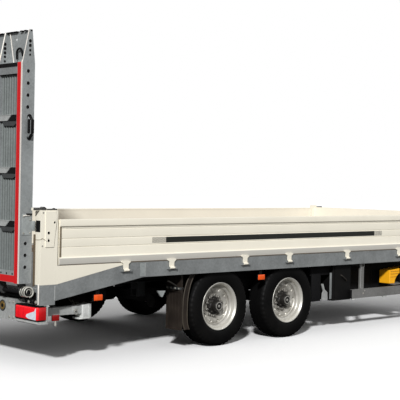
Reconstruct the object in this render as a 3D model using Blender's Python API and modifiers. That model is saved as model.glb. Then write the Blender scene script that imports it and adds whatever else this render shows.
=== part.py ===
"""Tandem-axle low-bed truck trailer with folding ramps and dropsides.

Metres, +Z up, +X toward the drawbar, -Y is the right-hand side.
Lengths along x are measured from the rear axle; the whole trailer hangs on
one empty that moves the middle of its length to the origin, at ground level.
"""
import math

import bmesh
import bpy
from mathutils import Matrix, Vector

# Clearances
SEAT = 0.0003            # face to face, as welded or bolted
PIN_GAP = 0.0003         # a pin in its bore
SWING_GAP = 0.006        # a moving piece beside a fixed one

# Sides of the round pieces
TYRE_SIDES = 32
RIM_SIDES = 24
HUB_SIDES = 16
PIN_SIDES = 12
KNUCKLE_SIDES = 8

# Wheels and axles
TYRE_RADIUS = 0.39
TYRE_WIDTH = 0.24
TYRE_FACE_Y = 1.225      # outer sidewall from the centre line
AXLE_SPACING = 1.0
BEAD_RADIUS = 0.2225
RIM_LIP_RADIUS = 0.235
RIM_WIDTH = 0.21         # over the two lips
DISC_INSET = 0.105       # from the outer lip to the wheel disc
HUB_RADIUS = 0.10
CAP_RADIUS = 0.052
SPINDLE_RADIUS = 0.035
DRUM_RADIUS = 0.165
DRUM_LENGTH = 0.14
AXLE_BEAM = 0.10

BRAKE_CHAMBER_RADIUS = 0.068
BRAKE_CHAMBER_LENGTH = 0.14
BRAKE_CHAMBER_Y = 0.40
BRAKE_CHAMBER_DROP = 0.012   # below the axle's middle

# Platform
DECK_OVER_TYRES = 0.088
DECK_Z = 2 * TYRE_RADIUS + DECK_OVER_TYRES
DECK_THICK = 0.030
KNEE_X = -1.20           # where the deck bends down to the tail
TAIL_SLOPE = 0.19        # fall per metre behind the knee
TAIL_END_X = -2.187
TAIL_DECK_Z = DECK_Z - (KNEE_X - TAIL_END_X) * TAIL_SLOPE
PLATFORM_FRONT_X = 4.28
RAIL_FACE_Y = 1.27
RAIL_DEPTH = 0.135
RAIL_WALL = 0.008
RAIL_TOP_FLANGE = 0.050
RAIL_LOW_FLANGE = 0.032
RAIL_LOW_KNEE_X = -1.043 # where the rail's lower edge bends, before the deck does
END_BLOCK_X = -2.03      # front of the block that closes the rail
END_BLOCK_DROP = 0.172

# Chassis
BEAM_Y = 0.55
BEAM_DEPTH = 0.268       # deck top to the beam's lower face
BEAM_FLANGE = 0.10
BEAM_FLANGE_THICK = 0.012
BEAM_WEB = 0.010
CROSS_DEPTH = 0.123      # deck top to the cross-member's lower face
CROSS_WIDTH = 0.06
CROSS_SHALLOW = 0.075    # same, where it passes over a tyre
CROSS_XS = (-1.85, -1.40, -0.95, -0.5, 0.5, 1.5, 2.225, 2.65, 3.10, 3.57, 4.0)
CROSS_OVER_WHEELS_XS = (0.0, 1.0)
BOLSTER_X = (4.05, 4.20)     # box that ties the beams over the drawbar
FRONT_MEMBER = 0.045
HANGER_LENGTH = 0.10
HANGER_DROP = 0.073      # below the main leaf's end
HANGER_WALL = 0.014
SPRING_WIDTH = 0.070
LEAF_THICK = 0.012
SPRING_CAMBER = 0.045
SPRING_LEAVES = 4

# Rear end
REAR_BEAM_X = (-2.200, -2.10)
REAR_BEAM_Z = (TAIL_DECK_Z - 0.300, TAIL_DECK_Z - 0.112)
REAR_BEAM_PLATE = 0.012
HINGE_BEAM_X = (-2.175, -2.10)
HINGE_BEAM_Z = (TAIL_DECK_Z - 0.095, TAIL_DECK_Z - DECK_THICK - 0.0005)
HINGE_EAR_THICK = 0.012
HINGE_EAR_REACH = 0.026      # of steel round the pin
LAMP_INNER_Y = 0.922
LAMP_Z = (TAIL_DECK_Z - 0.277, TAIL_DECK_Z - 0.1445)
LAMP_PROUD = 0.006
LAMP_CORNER = 0.020

# Ramps, folded up: rear and front faces, heights above the foot
RAMP_HINGE_X = -2.257
RAMP_HINGE_Z = TAIL_DECK_Z - 0.0315
RAMP_REAR_X = -2.355
RAMP_FRONT_X = -2.228
RAMP_OUTER_Y = 1.20
RAMP_FOOT_RISE = 0.080       # foot over the hinge
RAMP_LENGTH = 2.126
RAMP_FOOT_Z = RAMP_HINGE_Z + RAMP_FOOT_RISE
RAMP_TIP_Z = RAMP_FOOT_Z + RAMP_LENGTH
RAMP_BEVEL_LENGTH = 0.281    # the tip is tapered over this length
RAMP_BEVEL_Z = RAMP_TIP_Z - RAMP_BEVEL_LENGTH
RAMP_TIP_THICK = 0.034
RAMP_TIP_X = -2.258          # front face at the tip
RAMP_BEAM_YS = (0.0, 0.362, 0.724)       # from the outer face of the ramp
RAMP_BEAM_WIDTHS = (0.072, 0.045, 0.045)
RAMP_WALL = 0.006
RAMP_RIB_COUNT = 13      # strips of the sheet, every second one raised
RAMP_RIB_DEPTH = 0.007
RAMP_CROSS_RISES = (0.046, 0.498, 0.948, 1.390, RAMP_LENGTH - 0.310)
RAMP_CROSS_HEIGHT = 0.05
RAMP_NOTCH = (0.060, 0.050)      # length along y and depth of the notch beside the outer beam
RAMP_HOLE_RISES = (0.138, 0.238, 0.337)
RAMP_HOLE_DROPS = (0.649, 0.550, 0.450, 0.349)       # of the upper holes, below the tip
RAMP_TIP_HOLE_DROPS = (0.212, 0.175, 0.135, 0.097)
RAMP_HOLE_RADIUS = 0.011
RAMP_TIP_HOLE_RADIUS = 0.008
RAMP_PLATE_HOLES = (0.237, 0.327)        # see-through holes of the tip plate, inward in each bay
RAMP_PLATE_HOLE_DROP = 0.066
RAMP_PLATE_HOLE_RADIUS = 0.012
RAMP_HANDLE_DROP = 0.903         # its lower foot below the tip
RAMP_HANDLE_HEIGHT = 0.175
RAMP_HANDLE_PROUD = 0.034
RAMP_HANDLE_RADIUS = 0.008
HINGE_EYE_RADIUS = 0.034
HINGE_PIN_RADIUS = 0.016
HINGE_PIN_PROUD = 0.012      # past the ramp's outer face, through the spring
HINGE_EYE_THICK = 0.020
OUTER_EYE_INSET = 0.065
SPRING_COIL_RADIUS = 0.053
SPRING_WIRE_RADIUS = 0.0085
SPRING_COIL_PITCH = 0.0205
SPRING_COIL_TURNS = 3

# Dropsides
DROPSIDE_REAR_X = -1.99
DROPSIDE_FRONT_X = 4.18
DROPSIDE_LOW_Z = DECK_Z + 0.011
DROPSIDE_HEIGHT = 0.388
DROPSIDE_TOP_Z = DROPSIDE_LOW_Z + DROPSIDE_HEIGHT
DROPSIDE_FACE_Y = 1.278
DROPSIDE_THICK = 0.040
DROPSIDE_RECESS = 0.014
TOP_BAND = 0.058
LOW_BAND = 0.056
BAND_SLOPE = 0.006           # each band's edge leans in by this
HEM_INSET = 0.008            # the panel's foot stands back from its face
GROOVE_RISES = (0.148, 0.222, 0.305)     # above the panel's lower edge
GROOVE_HEIGHT = 0.006
GROOVE_DEPTH = 0.004
DROPSIDE_PIVOT_Y = 1.290
DROPSIDE_PIVOT_Z = DECK_Z - 0.063
STRAP_XS = (-1.265, -0.713, 0.268, 0.925, 1.875, 2.817, 3.735)
STRAP_WIDTH = 0.075
STRAP_HEAD_WIDTH = 0.150     # where the strap flares out under the panel
STRAP_HEAD_HEIGHT = 0.031
STRAP_LAP = 0.008            # of the head on the panel
STRAP_INNER_Y = 1.2755
STRAP_THICK = 0.0115
KNUCKLE_RADIUS = 0.012
LUG_THICK = 0.012

# Posts and headboard
POST_INNER_Y = 1.185
REAR_POST_X = (TAIL_END_X, -2.012)
REAR_POST_TOP_Z = DECK_Z + 0.477
POST_PLATE_Z = (DECK_Z + 0.165, DECK_Z + 0.470)
POST_PLATE_X = (0.045, 0.132, 0.168)     # from the post's rear: edge, its foot and its head
POST_PLATE_THICK = 0.016
POST_HOLES = ((0.076, 0.286), (0.076, 0.227), (0.135, 0.374))   # from the rear, above the deck
POST_HOLE_RADIUS = 0.011
POST_POCKET_Z = (DECK_Z + 0.292, DECK_Z + 0.390)
POST_POCKET_DEPTH = 0.050
POST_WALL = 0.010
LATCH_LEVER_X = (-2.255, -2.119, -2.006)     # rear end, end of the thick part, front end
LATCH_LEVER = (0.028, 0.010, 0.022)      # width, and height over the post of bar and thick part
FRONT_POST_X = (4.195, PLATFORM_FRONT_X)
FRONT_POST_TOP_Z = DECK_Z + 0.432
HEADBOARD_TOP_Z = DECK_Z + 0.408
HEADBOARD_THICK = 0.035

# Drawbar, eye and jack
DRAWBAR_REAR_X = 3.2
DRAWBAR_HEAD_X = 5.86
DRAWBAR_HEIGHT = 0.12
DRAWBAR_WIDTH = 0.08
DRAWBAR_HEAD_Y = 0.075
DRAWBAR_HEAD_LENGTH = 0.22
DRAWBAR_TOP_Z = DECK_Z - BEAM_DEPTH - SEAT
EYE_X = 6.10
EYE_OUTER_RADIUS = 0.055
EYE_INNER_RADIUS = 0.022
EYE_THICK = 0.036
EYE_FLANGE = 0.16
EYE_FLANGE_THICK = 0.025
EYE_SHANK = 0.052
JACK_X = 5.30
JACK_ARM = 0.075         # from the drawbar's beam to the jack's tube
JACK_TUBE = 0.085
JACK_LEG = 0.066
JACK_TOP_Z = DRAWBAR_TOP_Z + 0.26
JACK_TUBE_LOW_Z = 0.26
JACK_CUT_Z = DRAWBAR_TOP_Z - 0.10    # top of the leg inside its tube
JACK_FOOT = 0.20
JACK_FOOT_THICK = 0.012
JACK_CRANK_RADIUS = 0.009
JACK_CRANK_THROW = 0.18
JACK_CRANK_GRIP = 0.09

# Fittings under the side rail
GUARD_X = (2.013, 4.12)
GUARD_DROPS = (0.521, 0.422)     # deck top to the rail's lower and upper edge
GUARD_Z = (DECK_Z - GUARD_DROPS[0], DECK_Z - GUARD_DROPS[1])
GUARD_FACE_Y = 1.250
GUARD_THICK = 0.030
GUARD_POST_XS = (CROSS_XS[6], CROSS_XS[8], 4.03)
GUARD_POST = 0.05
GUARD_POST_DEPTH = 0.03
GUARD_ARM_Y = 0.95
CHOCK_X = (2.81, 3.19)
CHOCK_Y = (1.015, 1.165)
CHOCK_LOW_Z = GUARD_Z[1] + 0.020
CHOCK_HEIGHT = 0.19
CHOCK_HEEL = 0.10        # flat lower edge at the thick end
CHOCK_NOSE = 0.035       # thickness at the thin end
TRAY_THICK = 0.008
BOX_X = (1.74, 2.045)
BOX_Y = (0.82, 1.20)
BOX_HEIGHT = 0.408
STRAP_STEEL = 0.008
STRAP_STEEL_WIDTH = 0.04
TANK_X = CROSS_XS[7]
TANK_RADIUS = 0.12
TANK_LENGTH = 0.80
FLAP_X = -0.508
FLAP_THICK = 0.012
FLAP_Y = (0.99, 1.215)
FLAP_Z = (0.19, DECK_Z - 0.268)
FLAP_LAP = 0.05
MARKER_XS = (-1.557, 0.531)
MARKER_LENGTH = 0.105
MARKER_HEIGHT = 0.062
MARKER_DEPTH = 0.026
MARKER_DROP = 0.046      # below the rail
MARKER_ARM = 0.040
LEG_Y = 1.12
LEG_Z = TAIL_DECK_Z - 0.2155
LEG_TUBE = 0.07
LEG_FRONT_X = -1.575
LEG_FOOT = 0.125
LEG_FOOT_DROP = 0.015    # the foot's middle under the tube's
LEG_FOOT_THICK = 0.012

REAR_X = RAMP_REAR_X
FRONT_X = EYE_X + EYE_OUTER_RADIUS
MIDDLE_X = (REAR_X + FRONT_X) / 2

# Material: base colour, roughness, metallic
FINISHES = {
    "galvanised": ((0.36, 0.38, 0.38), 0.55, 0.8),
    "cream_paint": ((0.80, 0.76, 0.65), 0.42, 0.0),
    "deck_wood": ((0.27, 0.17, 0.09), 0.75, 0.0),
    "tyre": ((0.02, 0.02, 0.02), 0.85, 0.0),
    "rim_paint": ((0.72, 0.70, 0.64), 0.40, 0.2),
    "hub_steel": ((0.09, 0.07, 0.06), 0.55, 0.6),
    "black_steel": ((0.03, 0.03, 0.03), 0.60, 0.3),
    "red_lens": ((0.60, 0.02, 0.02), 0.20, 0.0),
    "orange_lens": ((0.80, 0.25, 0.02), 0.20, 0.0),
    "chock_yellow": ((0.80, 0.55, 0.03), 0.50, 0.0),
    "flap_rubber": ((0.06, 0.045, 0.04), 0.80, 0.0),
}

for old in list(bpy.data.objects):
    bpy.data.objects.remove(old, do_unlink=True)
for old in list(bpy.data.collections):
    bpy.data.collections.remove(old)

trailer = bpy.data.collections.new("truck_trailer")
bpy.context.scene.collection.children.link(trailer)
origin = bpy.data.objects.new("trailer_origin", None)
origin.location = (-MIDDLE_X, 0, 0)
trailer.objects.link(origin)


def finish(name):
    """The material of one finish, made once."""
    if name in bpy.data.materials:
        return bpy.data.materials[name]
    colour, roughness, metallic = FINISHES[name]
    material = bpy.data.materials.new(name)
    material.use_nodes = True
    shader = material.node_tree.nodes["Principled BSDF"]
    shader.inputs["Base Color"].default_value = (*colour, 1)
    shader.inputs["Roughness"].default_value = roughness
    shader.inputs["Metallic"].default_value = metallic
    material.diffuse_color = (*colour, 1)
    return material


def mesh_object(bm, name="piece"):
    """A loose object from a bmesh, its faces turned outward."""
    bmesh.ops.recalc_face_normals(bm, faces=bm.faces)
    mesh = bpy.data.meshes.new(name)
    bm.to_mesh(mesh)
    bm.free()
    piece = bpy.data.objects.new(name, mesh)
    trailer.objects.link(piece)
    return piece


def box(x, y, z):
    """A block between two values on each axis."""
    bm = bmesh.new()
    bmesh.ops.create_cube(bm, size=1)
    size = [abs(span[1] - span[0]) for span in (x, y, z)]
    middle = [(span[0] + span[1]) / 2 for span in (x, y, z)]
    bmesh.ops.scale(bm, vec=size, verts=bm.verts)
    bmesh.ops.translate(bm, vec=middle, verts=bm.verts)
    return mesh_object(bm)


def prism(outline, along, start, end):
    """A flat outline carried along one axis; the outline gives the other two in order."""
    place = {
        "x": lambda a, b: (start, a, b),
        "y": lambda a, b: (a, start, b),
        "z": lambda a, b: (a, b, start),
    }[along]
    travel = {"x": (end - start, 0, 0), "y": (0, end - start, 0), "z": (0, 0, end - start)}[along]
    bm = bmesh.new()
    face = bm.faces.new([bm.verts.new(place(a, b)) for a, b in outline])
    moved = bmesh.ops.extrude_face_region(bm, geom=[face])
    tops = [item for item in moved["geom"] if isinstance(item, bmesh.types.BMVert)]
    bmesh.ops.translate(bm, vec=travel, verts=tops)
    return mesh_object(bm)


def cylinder(axis, centre, radius, start, end, sides=PIN_SIDES):
    """A round bar along one axis; centre gives the two other coordinates in order."""
    bm = bmesh.new()
    bmesh.ops.create_cone(
        bm, cap_ends=True, segments=sides, radius1=radius, radius2=radius, depth=abs(end - start)
    )
    turn = {
        "x": Matrix.Rotation(math.pi / 2, 4, "Y"),
        "y": Matrix.Rotation(math.pi / 2, 4, "X"),
        "z": Matrix.Identity(4),
    }[axis]
    middle = (start + end) / 2
    place = {
        "x": (middle, centre[0], centre[1]),
        "y": (centre[0], middle, centre[1]),
        "z": (centre[0], centre[1], middle),
    }[axis]
    bmesh.ops.transform(bm, matrix=Matrix.Translation(place) @ turn, verts=bm.verts)
    return mesh_object(bm)


def baked(piece):
    """The piece with its modifiers or curve made a plain closed mesh."""
    graph = bpy.context.evaluated_depsgraph_get()
    graph.update()
    mesh = bpy.data.meshes.new_from_object(piece.evaluated_get(graph), depsgraph=graph)
    bm = bmesh.new()
    bm.from_mesh(mesh)
    bmesh.ops.transform(bm, matrix=piece.matrix_world, verts=bm.verts)
    bmesh.ops.remove_doubles(bm, verts=bm.verts, dist=0.00002)
    bmesh.ops.dissolve_degenerate(bm, edges=bm.edges, dist=0.00001)
    bpy.data.meshes.remove(mesh)
    bpy.data.objects.remove(piece, do_unlink=True)
    return mesh_object(bm)


def turned(profile, steps):
    """A closed profile of (radius, y) turned round the y axis."""
    bm = bmesh.new()
    points = [bm.verts.new((radius, y, 0)) for radius, y in profile]
    for first, second in zip(points, points[1:] + points[:1]):
        if first.co.x > 0 or second.co.x > 0:
            bm.edges.new((first, second))
    mesh = bpy.data.meshes.new("profile")
    bm.to_mesh(mesh)
    bm.free()
    piece = bpy.data.objects.new("profile", mesh)
    trailer.objects.link(piece)
    screw = piece.modifiers.new("turn", "SCREW")
    screw.axis = "Y"
    screw.steps = steps
    screw.render_steps = steps
    screw.use_merge_vertices = True
    screw.merge_threshold = 0.00005
    return baked(piece)


def tube(points, radius, sides=2):
    """A round bar along a line of points."""
    curve = bpy.data.curves.new("bar", "CURVE")
    curve.dimensions = "3D"
    curve.bevel_depth = radius
    curve.bevel_resolution = sides
    curve.use_fill_caps = True
    spline = curve.splines.new("POLY")
    spline.points.add(len(points) - 1)
    for target, point in zip(spline.points, points):
        target.co = (*point, 1)
    piece = bpy.data.objects.new("bar", curve)
    trailer.objects.link(piece)
    return baked(piece)


def boolean(base, tools, operation):
    """The base joined with, or cut by, each tool in turn."""
    for tool in tools:
        modifier = base.modifiers.new(operation, "BOOLEAN")
        modifier.operation = operation
        modifier.solver = "EXACT"
        modifier.object = tool
    result = baked(base)
    for tool in tools:
        bpy.data.objects.remove(tool, do_unlink=True)
    return result


def joined(pieces):
    """Overlapping pieces welded into one solid."""
    return boolean(pieces[0], pieces[1:], "UNION") if len(pieces) > 1 else pieces[0]


def cut(base, tools):
    """The base with each tool's space taken out."""
    return boolean(base, tools, "DIFFERENCE")


def node(name, piece, material, pivot=(0, 0, 0), smooth=False):
    """The finished sub-part, its origin on its pivot, hung on the trailer."""
    piece.name = name
    piece.data.name = name
    piece.data.transform(Matrix.Translation(-Vector(pivot)))
    piece.location = pivot
    piece.parent = origin
    piece.data.materials.clear()
    piece.data.materials.append(finish(material))
    if smooth:
        piece.data.shade_smooth()
        piece.data.set_sharp_from_angle(angle=math.radians(35))
    return piece


def mirrored(piece):
    """A left-hand copy of a right-hand piece, turned the right way out."""
    bm = bmesh.new()
    bm.from_mesh(piece.data)
    bmesh.ops.scale(bm, vec=(1, -1, 1), verts=bm.verts)
    return mesh_object(bm)


def pair(name, piece, material, pivot=(0, 0, 0), smooth=False):
    """Right and left sub-parts from the right-hand piece."""
    other = mirrored(piece)
    node(name + "_R", piece, material, pivot, smooth)
    node(name + "_L", other, material, (pivot[0], -pivot[1], pivot[2]), smooth)


def deck_z(x):
    """Height of the deck's top at x, level to the knee and falling behind it."""
    return DECK_Z - max(0, KNEE_X - x) * TAIL_SLOPE


def rail_low_z(x):
    """Height of the rail's lower edge: a straight run from its end block to its own knee."""
    rear_z = deck_z(END_BLOCK_X) - RAIL_DEPTH
    share = (x - END_BLOCK_X) / (RAIL_LOW_KNEE_X - END_BLOCK_X)
    return rear_z + (DECK_Z - RAIL_DEPTH - rear_z) * min(1, share)


def rail_strip(x0, x1, rise, y0, y1):
    """The rail's web up to the deck, or with a rise only a flange along its lower edge."""
    lower = [(x, rail_low_z(x) + 0.0002 * bool(rise)) for x in (x0, RAIL_LOW_KNEE_X, x1)]
    if rise:
        upper = [(x, z + rise) for x, z in lower]
    else:
        upper = [(x, deck_z(x)) for x in (x0, KNEE_X, x1)]
    return prism(upper + lower[::-1], "y", y0, y1)


def along_deck(x0, x1, top, bottom, y0, y1):
    """A bar that follows the deck, between two depths below its top."""
    stations = [x0] + [KNEE_X] * (x0 < KNEE_X < x1) + [x1]
    upper = [(x, deck_z(x) - top) for x in stations]
    lower = [(x, deck_z(x) - bottom) for x in reversed(stations)]
    return prism(upper + lower, "y", y0, y1)


def side_rail():
    """Folded channel along the platform's edge, its end block and dropside lugs."""
    outer = -RAIL_FACE_Y
    skin = 0.001
    front = PLATFORM_FRONT_X - skin / 2
    pieces = [
        rail_strip(END_BLOCK_X - 0.02, PLATFORM_FRONT_X, 0, outer, outer + RAIL_WALL),
        along_deck(
            END_BLOCK_X - 0.01, front, 0.0002, RAIL_WALL, outer + skin, outer + RAIL_TOP_FLANGE,
        ),
        rail_strip(END_BLOCK_X - 0.01, front, RAIL_WALL, outer + skin, outer + RAIL_LOW_FLANGE),
    ]
    block_top = deck_z(REAR_POST_X[1])
    pieces.append(
        box(
            (TAIL_END_X, END_BLOCK_X), (outer - skin / 2, outer + RAIL_TOP_FLANGE - skin / 2),
            (block_top - END_BLOCK_DROP, block_top),
        )
    )
    half = STRAP_WIDTH / 2 + 0.0035
    for x in STRAP_XS:
        for side in (-1, 1):
            pieces.append(
                box(
                    (x + side * half, x + side * (half + LUG_THICK)),
                    (-DROPSIDE_PIVOT_Y - KNUCKLE_RADIUS, outer + RAIL_WALL / 2),
                    (DROPSIDE_PIVOT_Z - KNUCKLE_RADIUS, DROPSIDE_PIVOT_Z + KNUCKLE_RADIUS),
                )
            )
    return joined(pieces)


def main_beams():
    """The I-section main beams, bent at the knee."""
    low = BEAM_DEPTH
    top = DECK_THICK + SEAT
    rear = REAR_BEAM_X[1] + SEAT
    front = PLATFORM_FRONT_X - FRONT_MEMBER / 2
    pieces = []
    for side in (-1, 1):
        y = side * BEAM_Y
        half = BEAM_FLANGE / 2
        pieces += [
            along_deck(rear, front, top + 0.005, low - 0.005, y - BEAM_WEB / 2, y + BEAM_WEB / 2),
            along_deck(rear, front, top, top + BEAM_FLANGE_THICK, y - half, y + half),
            along_deck(rear, front, low - BEAM_FLANGE_THICK, low, y - half, y + half),
        ]
    return pieces


def cross_members():
    """Boxes from rail to rail through the main beams, the front one and the bolster."""
    reach = RAIL_FACE_Y - RAIL_WALL - SEAT
    members = [(x, CROSS_DEPTH) for x in CROSS_XS]
    members += [(x, CROSS_SHALLOW) for x in CROSS_OVER_WHEELS_XS]
    pieces = []
    for x, depth in members:
        half = CROSS_WIDTH / 2
        pieces.append(along_deck(x - half, x + half, DECK_THICK + SEAT * 2, depth, -reach, reach))
    pieces.append(
        along_deck(
            PLATFORM_FRONT_X - FRONT_MEMBER, PLATFORM_FRONT_X - SEAT, DECK_THICK + SEAT * 2,
            RAIL_DEPTH - RAIL_WALL - SEAT, -reach, reach,
        )
    )
    beam_low = DECK_Z - BEAM_DEPTH
    wide = BEAM_Y + BEAM_FLANGE / 2 - 0.01
    pieces.append(box(BOLSTER_X, (-wide, wide), (beam_low + 0.0002, DECK_Z - CROSS_DEPTH)))
    return pieces


def spring_hangers():
    """Two cheeks and a filler at each place where springs meet the main beams."""
    beam_low = DECK_Z - BEAM_DEPTH
    length = HANGER_LENGTH / 2
    half = SPRING_WIDTH / 2 + 0.001
    pieces = []
    for x in (-AXLE_SPACING / 2, AXLE_SPACING / 2, AXLE_SPACING * 1.5):
        for side in (-1, 1):
            y = side * BEAM_Y
            for cheek in (-1, 1):
                inner = y + cheek * half
                pieces.append(
                    box((x - length, x + length), (inner, inner + cheek * HANGER_WALL),
                        (spring_end_z() - HANGER_DROP, beam_low + BEAM_FLANGE_THICK / 2))
                )
            pieces.append(
                box((x - length + 0.001, x + length - 0.001), (y - half - 0.004, y + half + 0.004),
                    (spring_end_z() + SEAT, beam_low + BEAM_FLANGE_THICK / 2 - 0.001))
            )
    return pieces


def chassis():
    """The main beams with the cross-members and spring hangers welded to them."""
    return joined(main_beams() + cross_members() + spring_hangers())


def spring_base_z():
    """Height of the leaf pack's lower face, on the axle beam."""
    return TYRE_RADIUS + AXLE_BEAM / 2 + SEAT


def spring_end_z():
    """Height of the main leaf's top at its ends."""
    return spring_base_z() + SPRING_LEAVES * LEAF_THICK + SPRING_CAMBER


def leaf_spring(x, y):
    """Stacked leaves, the longest on top, bent up toward the hangers."""
    reach = AXLE_SPACING / 2 - 0.002
    steps = 3
    pieces = []
    for leaf in range(SPRING_LEAVES):
        half = reach * (1 - 0.2 * leaf)
        top = spring_base_z() + (SPRING_LEAVES - leaf) * LEAF_THICK
        stations = [half * step / steps for step in range(-steps, steps + 1)]
        rise = [SPRING_CAMBER * (station / reach) ** 2 for station in stations]
        lap = 0.0005 * (leaf < SPRING_LEAVES - 1)
        upper = [(x + s, top + r) for s, r in zip(stations, rise)]
        lower = [(x + s, top + r - LEAF_THICK - lap) for s, r in zip(stations, rise)]
        wide = SPRING_WIDTH / 2 - 0.0002 * leaf
        pieces.append(prism(upper + lower[::-1], "y", y - wide, y + wide))
    return joined(pieces)


def axle(x):
    """Square beam with its two spindles, brake backing plates and brake chambers."""
    disc_y = TYRE_FACE_Y - (TYRE_WIDTH - RIM_WIDTH) / 2 - DISC_INSET
    plate_y = disc_y - DRUM_LENGTH - SWING_GAP
    half = AXLE_BEAM / 2
    z = TYRE_RADIUS
    pieces = [box((x - half, x + half), (-plate_y + 0.03, plate_y - 0.03), (z - half, z + half))]
    for side in (-1, 1):
        pieces += [
            cylinder("y", (x, z), SPINDLE_RADIUS, side * (plate_y - 0.05), side * disc_y, HUB_SIDES),
            cylinder("y", (x, z), DRUM_RADIUS, side * (plate_y - 0.008), side * plate_y, RIM_SIDES),
        ]
        y = side * BRAKE_CHAMBER_Y
        rear = x - half - 0.01 - BRAKE_CHAMBER_LENGTH
        pieces.append(
            cylinder("x", (y, z - BRAKE_CHAMBER_DROP), BRAKE_CHAMBER_RADIUS, rear,
                     rear + BRAKE_CHAMBER_LENGTH)
        )
        pieces.append(
            box((rear + BRAKE_CHAMBER_LENGTH - 0.01, x), (y - 0.03, y + 0.03), (z - 0.03, z + 0.02))
        )
    return joined(pieces)


def tyre_profile():
    """Half round the tyre's section, (radius, y from the middle plane)."""
    half = TYRE_WIDTH / 2
    bead = RIM_WIDTH / 2 - 0.009
    flat = math.cos(math.pi / TYRE_SIDES)
    wall = TYRE_RADIUS - RIM_LIP_RADIUS
    bulge = ((0.42, 0.0), (0.74, 0.006), (0.935, 0.024))    # share of the wall's height, inset
    outer = [
        ((BEAD_RADIUS + SEAT) / flat, bead),
        ((RIM_LIP_RADIUS + SEAT) / flat, bead),
        (RIM_LIP_RADIUS + wall * 0.1, half - 0.008),
    ]
    outer += [(RIM_LIP_RADIUS + wall * share, half - inset) for share, inset in bulge]
    outer.append((TYRE_RADIUS, half - 0.050))
    return outer + [(radius, -y) for radius, y in reversed(outer)]


def rim_profile():
    """Rim barrel with its drop centre and disc, (radius, y outward from the middle plane)."""
    lip = RIM_WIDTH / 2
    seat = BEAD_RADIUS
    wall = 0.008
    disc = lip - DISC_INSET
    bore = HUB_RADIUS - 0.012
    return [
        (RIM_LIP_RADIUS, lip),
        (seat - wall, lip - 0.010),
        (seat - wall - 0.004, 0.055),
        (0.180, 0.036),
        (0.150, disc + 0.028),
        (0.128, disc + 0.014),
        (bore, disc + 0.012),
        (bore, disc),
        (0.172, disc),
        (seat - wall - 0.004, -0.060),
        (seat - wall, -lip + 0.010),
        (RIM_LIP_RADIUS, -lip),
        (RIM_LIP_RADIUS, -lip + 0.0085),
        (seat, -lip + 0.0088),
        (seat, lip - 0.0088),
        (RIM_LIP_RADIUS, lip - 0.0085),
    ]


def hub_profile():
    """Hub, cap and brake drum, (radius, y outward from the disc's inner face)."""
    bore = (SPINDLE_RADIUS + PIN_GAP) / math.cos(math.pi / HUB_SIDES)
    boss = HUB_RADIUS - 0.016
    return [
        (0.0, 0.095),
        (CAP_RADIUS - 0.010, 0.095),
        (CAP_RADIUS, 0.085),
        (CAP_RADIUS + 0.003, 0.036),
        (boss, 0.030),
        (boss, -SEAT),
        (DRUM_RADIUS, -SEAT),
        (DRUM_RADIUS, -DRUM_LENGTH),
        (DRUM_RADIUS - 0.014, -DRUM_LENGTH),
        (DRUM_RADIUS - 0.014, -0.020),
        (0.062, -0.020),
        (0.062, -DRUM_LENGTH + 0.020),
        (bore, -DRUM_LENGTH + 0.020),
        (bore, 0.004),
        (0.0, 0.004),
    ]


def wheels():
    """Tyre, rim and hub of each wheel, on its axle's end."""
    middle = TYRE_FACE_Y - TYRE_WIDTH / 2
    disc = RIM_WIDTH / 2 - DISC_INSET
    shapes = {
        "tyre": (tyre_profile(), 0.0, "tyre", TYRE_SIDES),
        "rim": (rim_profile(), 0.0, "rim_paint", RIM_SIDES),
        "hub": (hub_profile(), disc, "hub_steel", HUB_SIDES),
    }
    for label, x in (("rear", 0.0), ("front", AXLE_SPACING)):
        for kind, (profile, offset, material, steps) in shapes.items():
            outward = [(radius, -y - offset) for radius, y in profile]
            piece = turned(outward, steps)
            piece.data.transform(Matrix.Translation((x, -middle, TYRE_RADIUS)))
            pair(kind + "_" + label, piece, material, (x, -middle, TYRE_RADIUS), True)


def ramp_beam_y(number):
    """Outer face of one ramp beam, counted from the outside."""
    return -RAMP_OUTER_Y + RAMP_BEAM_YS[number]


def hinge_eye_y(number):
    """Outer face of the hinge eye under one ramp beam; the outermost one leaves room for the spring."""
    return ramp_beam_y(number) + 0.0005 + OUTER_EYE_INSET * (number == 0)


def ramp_sheet(front, inner_y):
    """The running sheet, ribbed lengthwise on its rear face."""
    outer_y = -RAMP_OUTER_Y + 0.0004
    pitch = (inner_y - outer_y) / RAMP_RIB_COUNT
    back = RAMP_FRONT_X - RAMP_WALL - 0.002
    outline = [(RAMP_FRONT_X, outer_y)]
    for number in range(RAMP_RIB_COUNT):
        y = outer_y + number * pitch
        depth = RAMP_RIB_DEPTH if number % 2 else 0.0
        outline += [(back - depth, y + pitch * 0.12), (back - depth, y + pitch * 0.88)]
    outline[1] = (back, outer_y)
    outline[-1] = (outline[-1][0], inner_y)
    outline.append((RAMP_FRONT_X, inner_y))
    return prism(outline, "z", RAMP_FOOT_Z + 0.0004, RAMP_TIP_Z - 0.0004)


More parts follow.
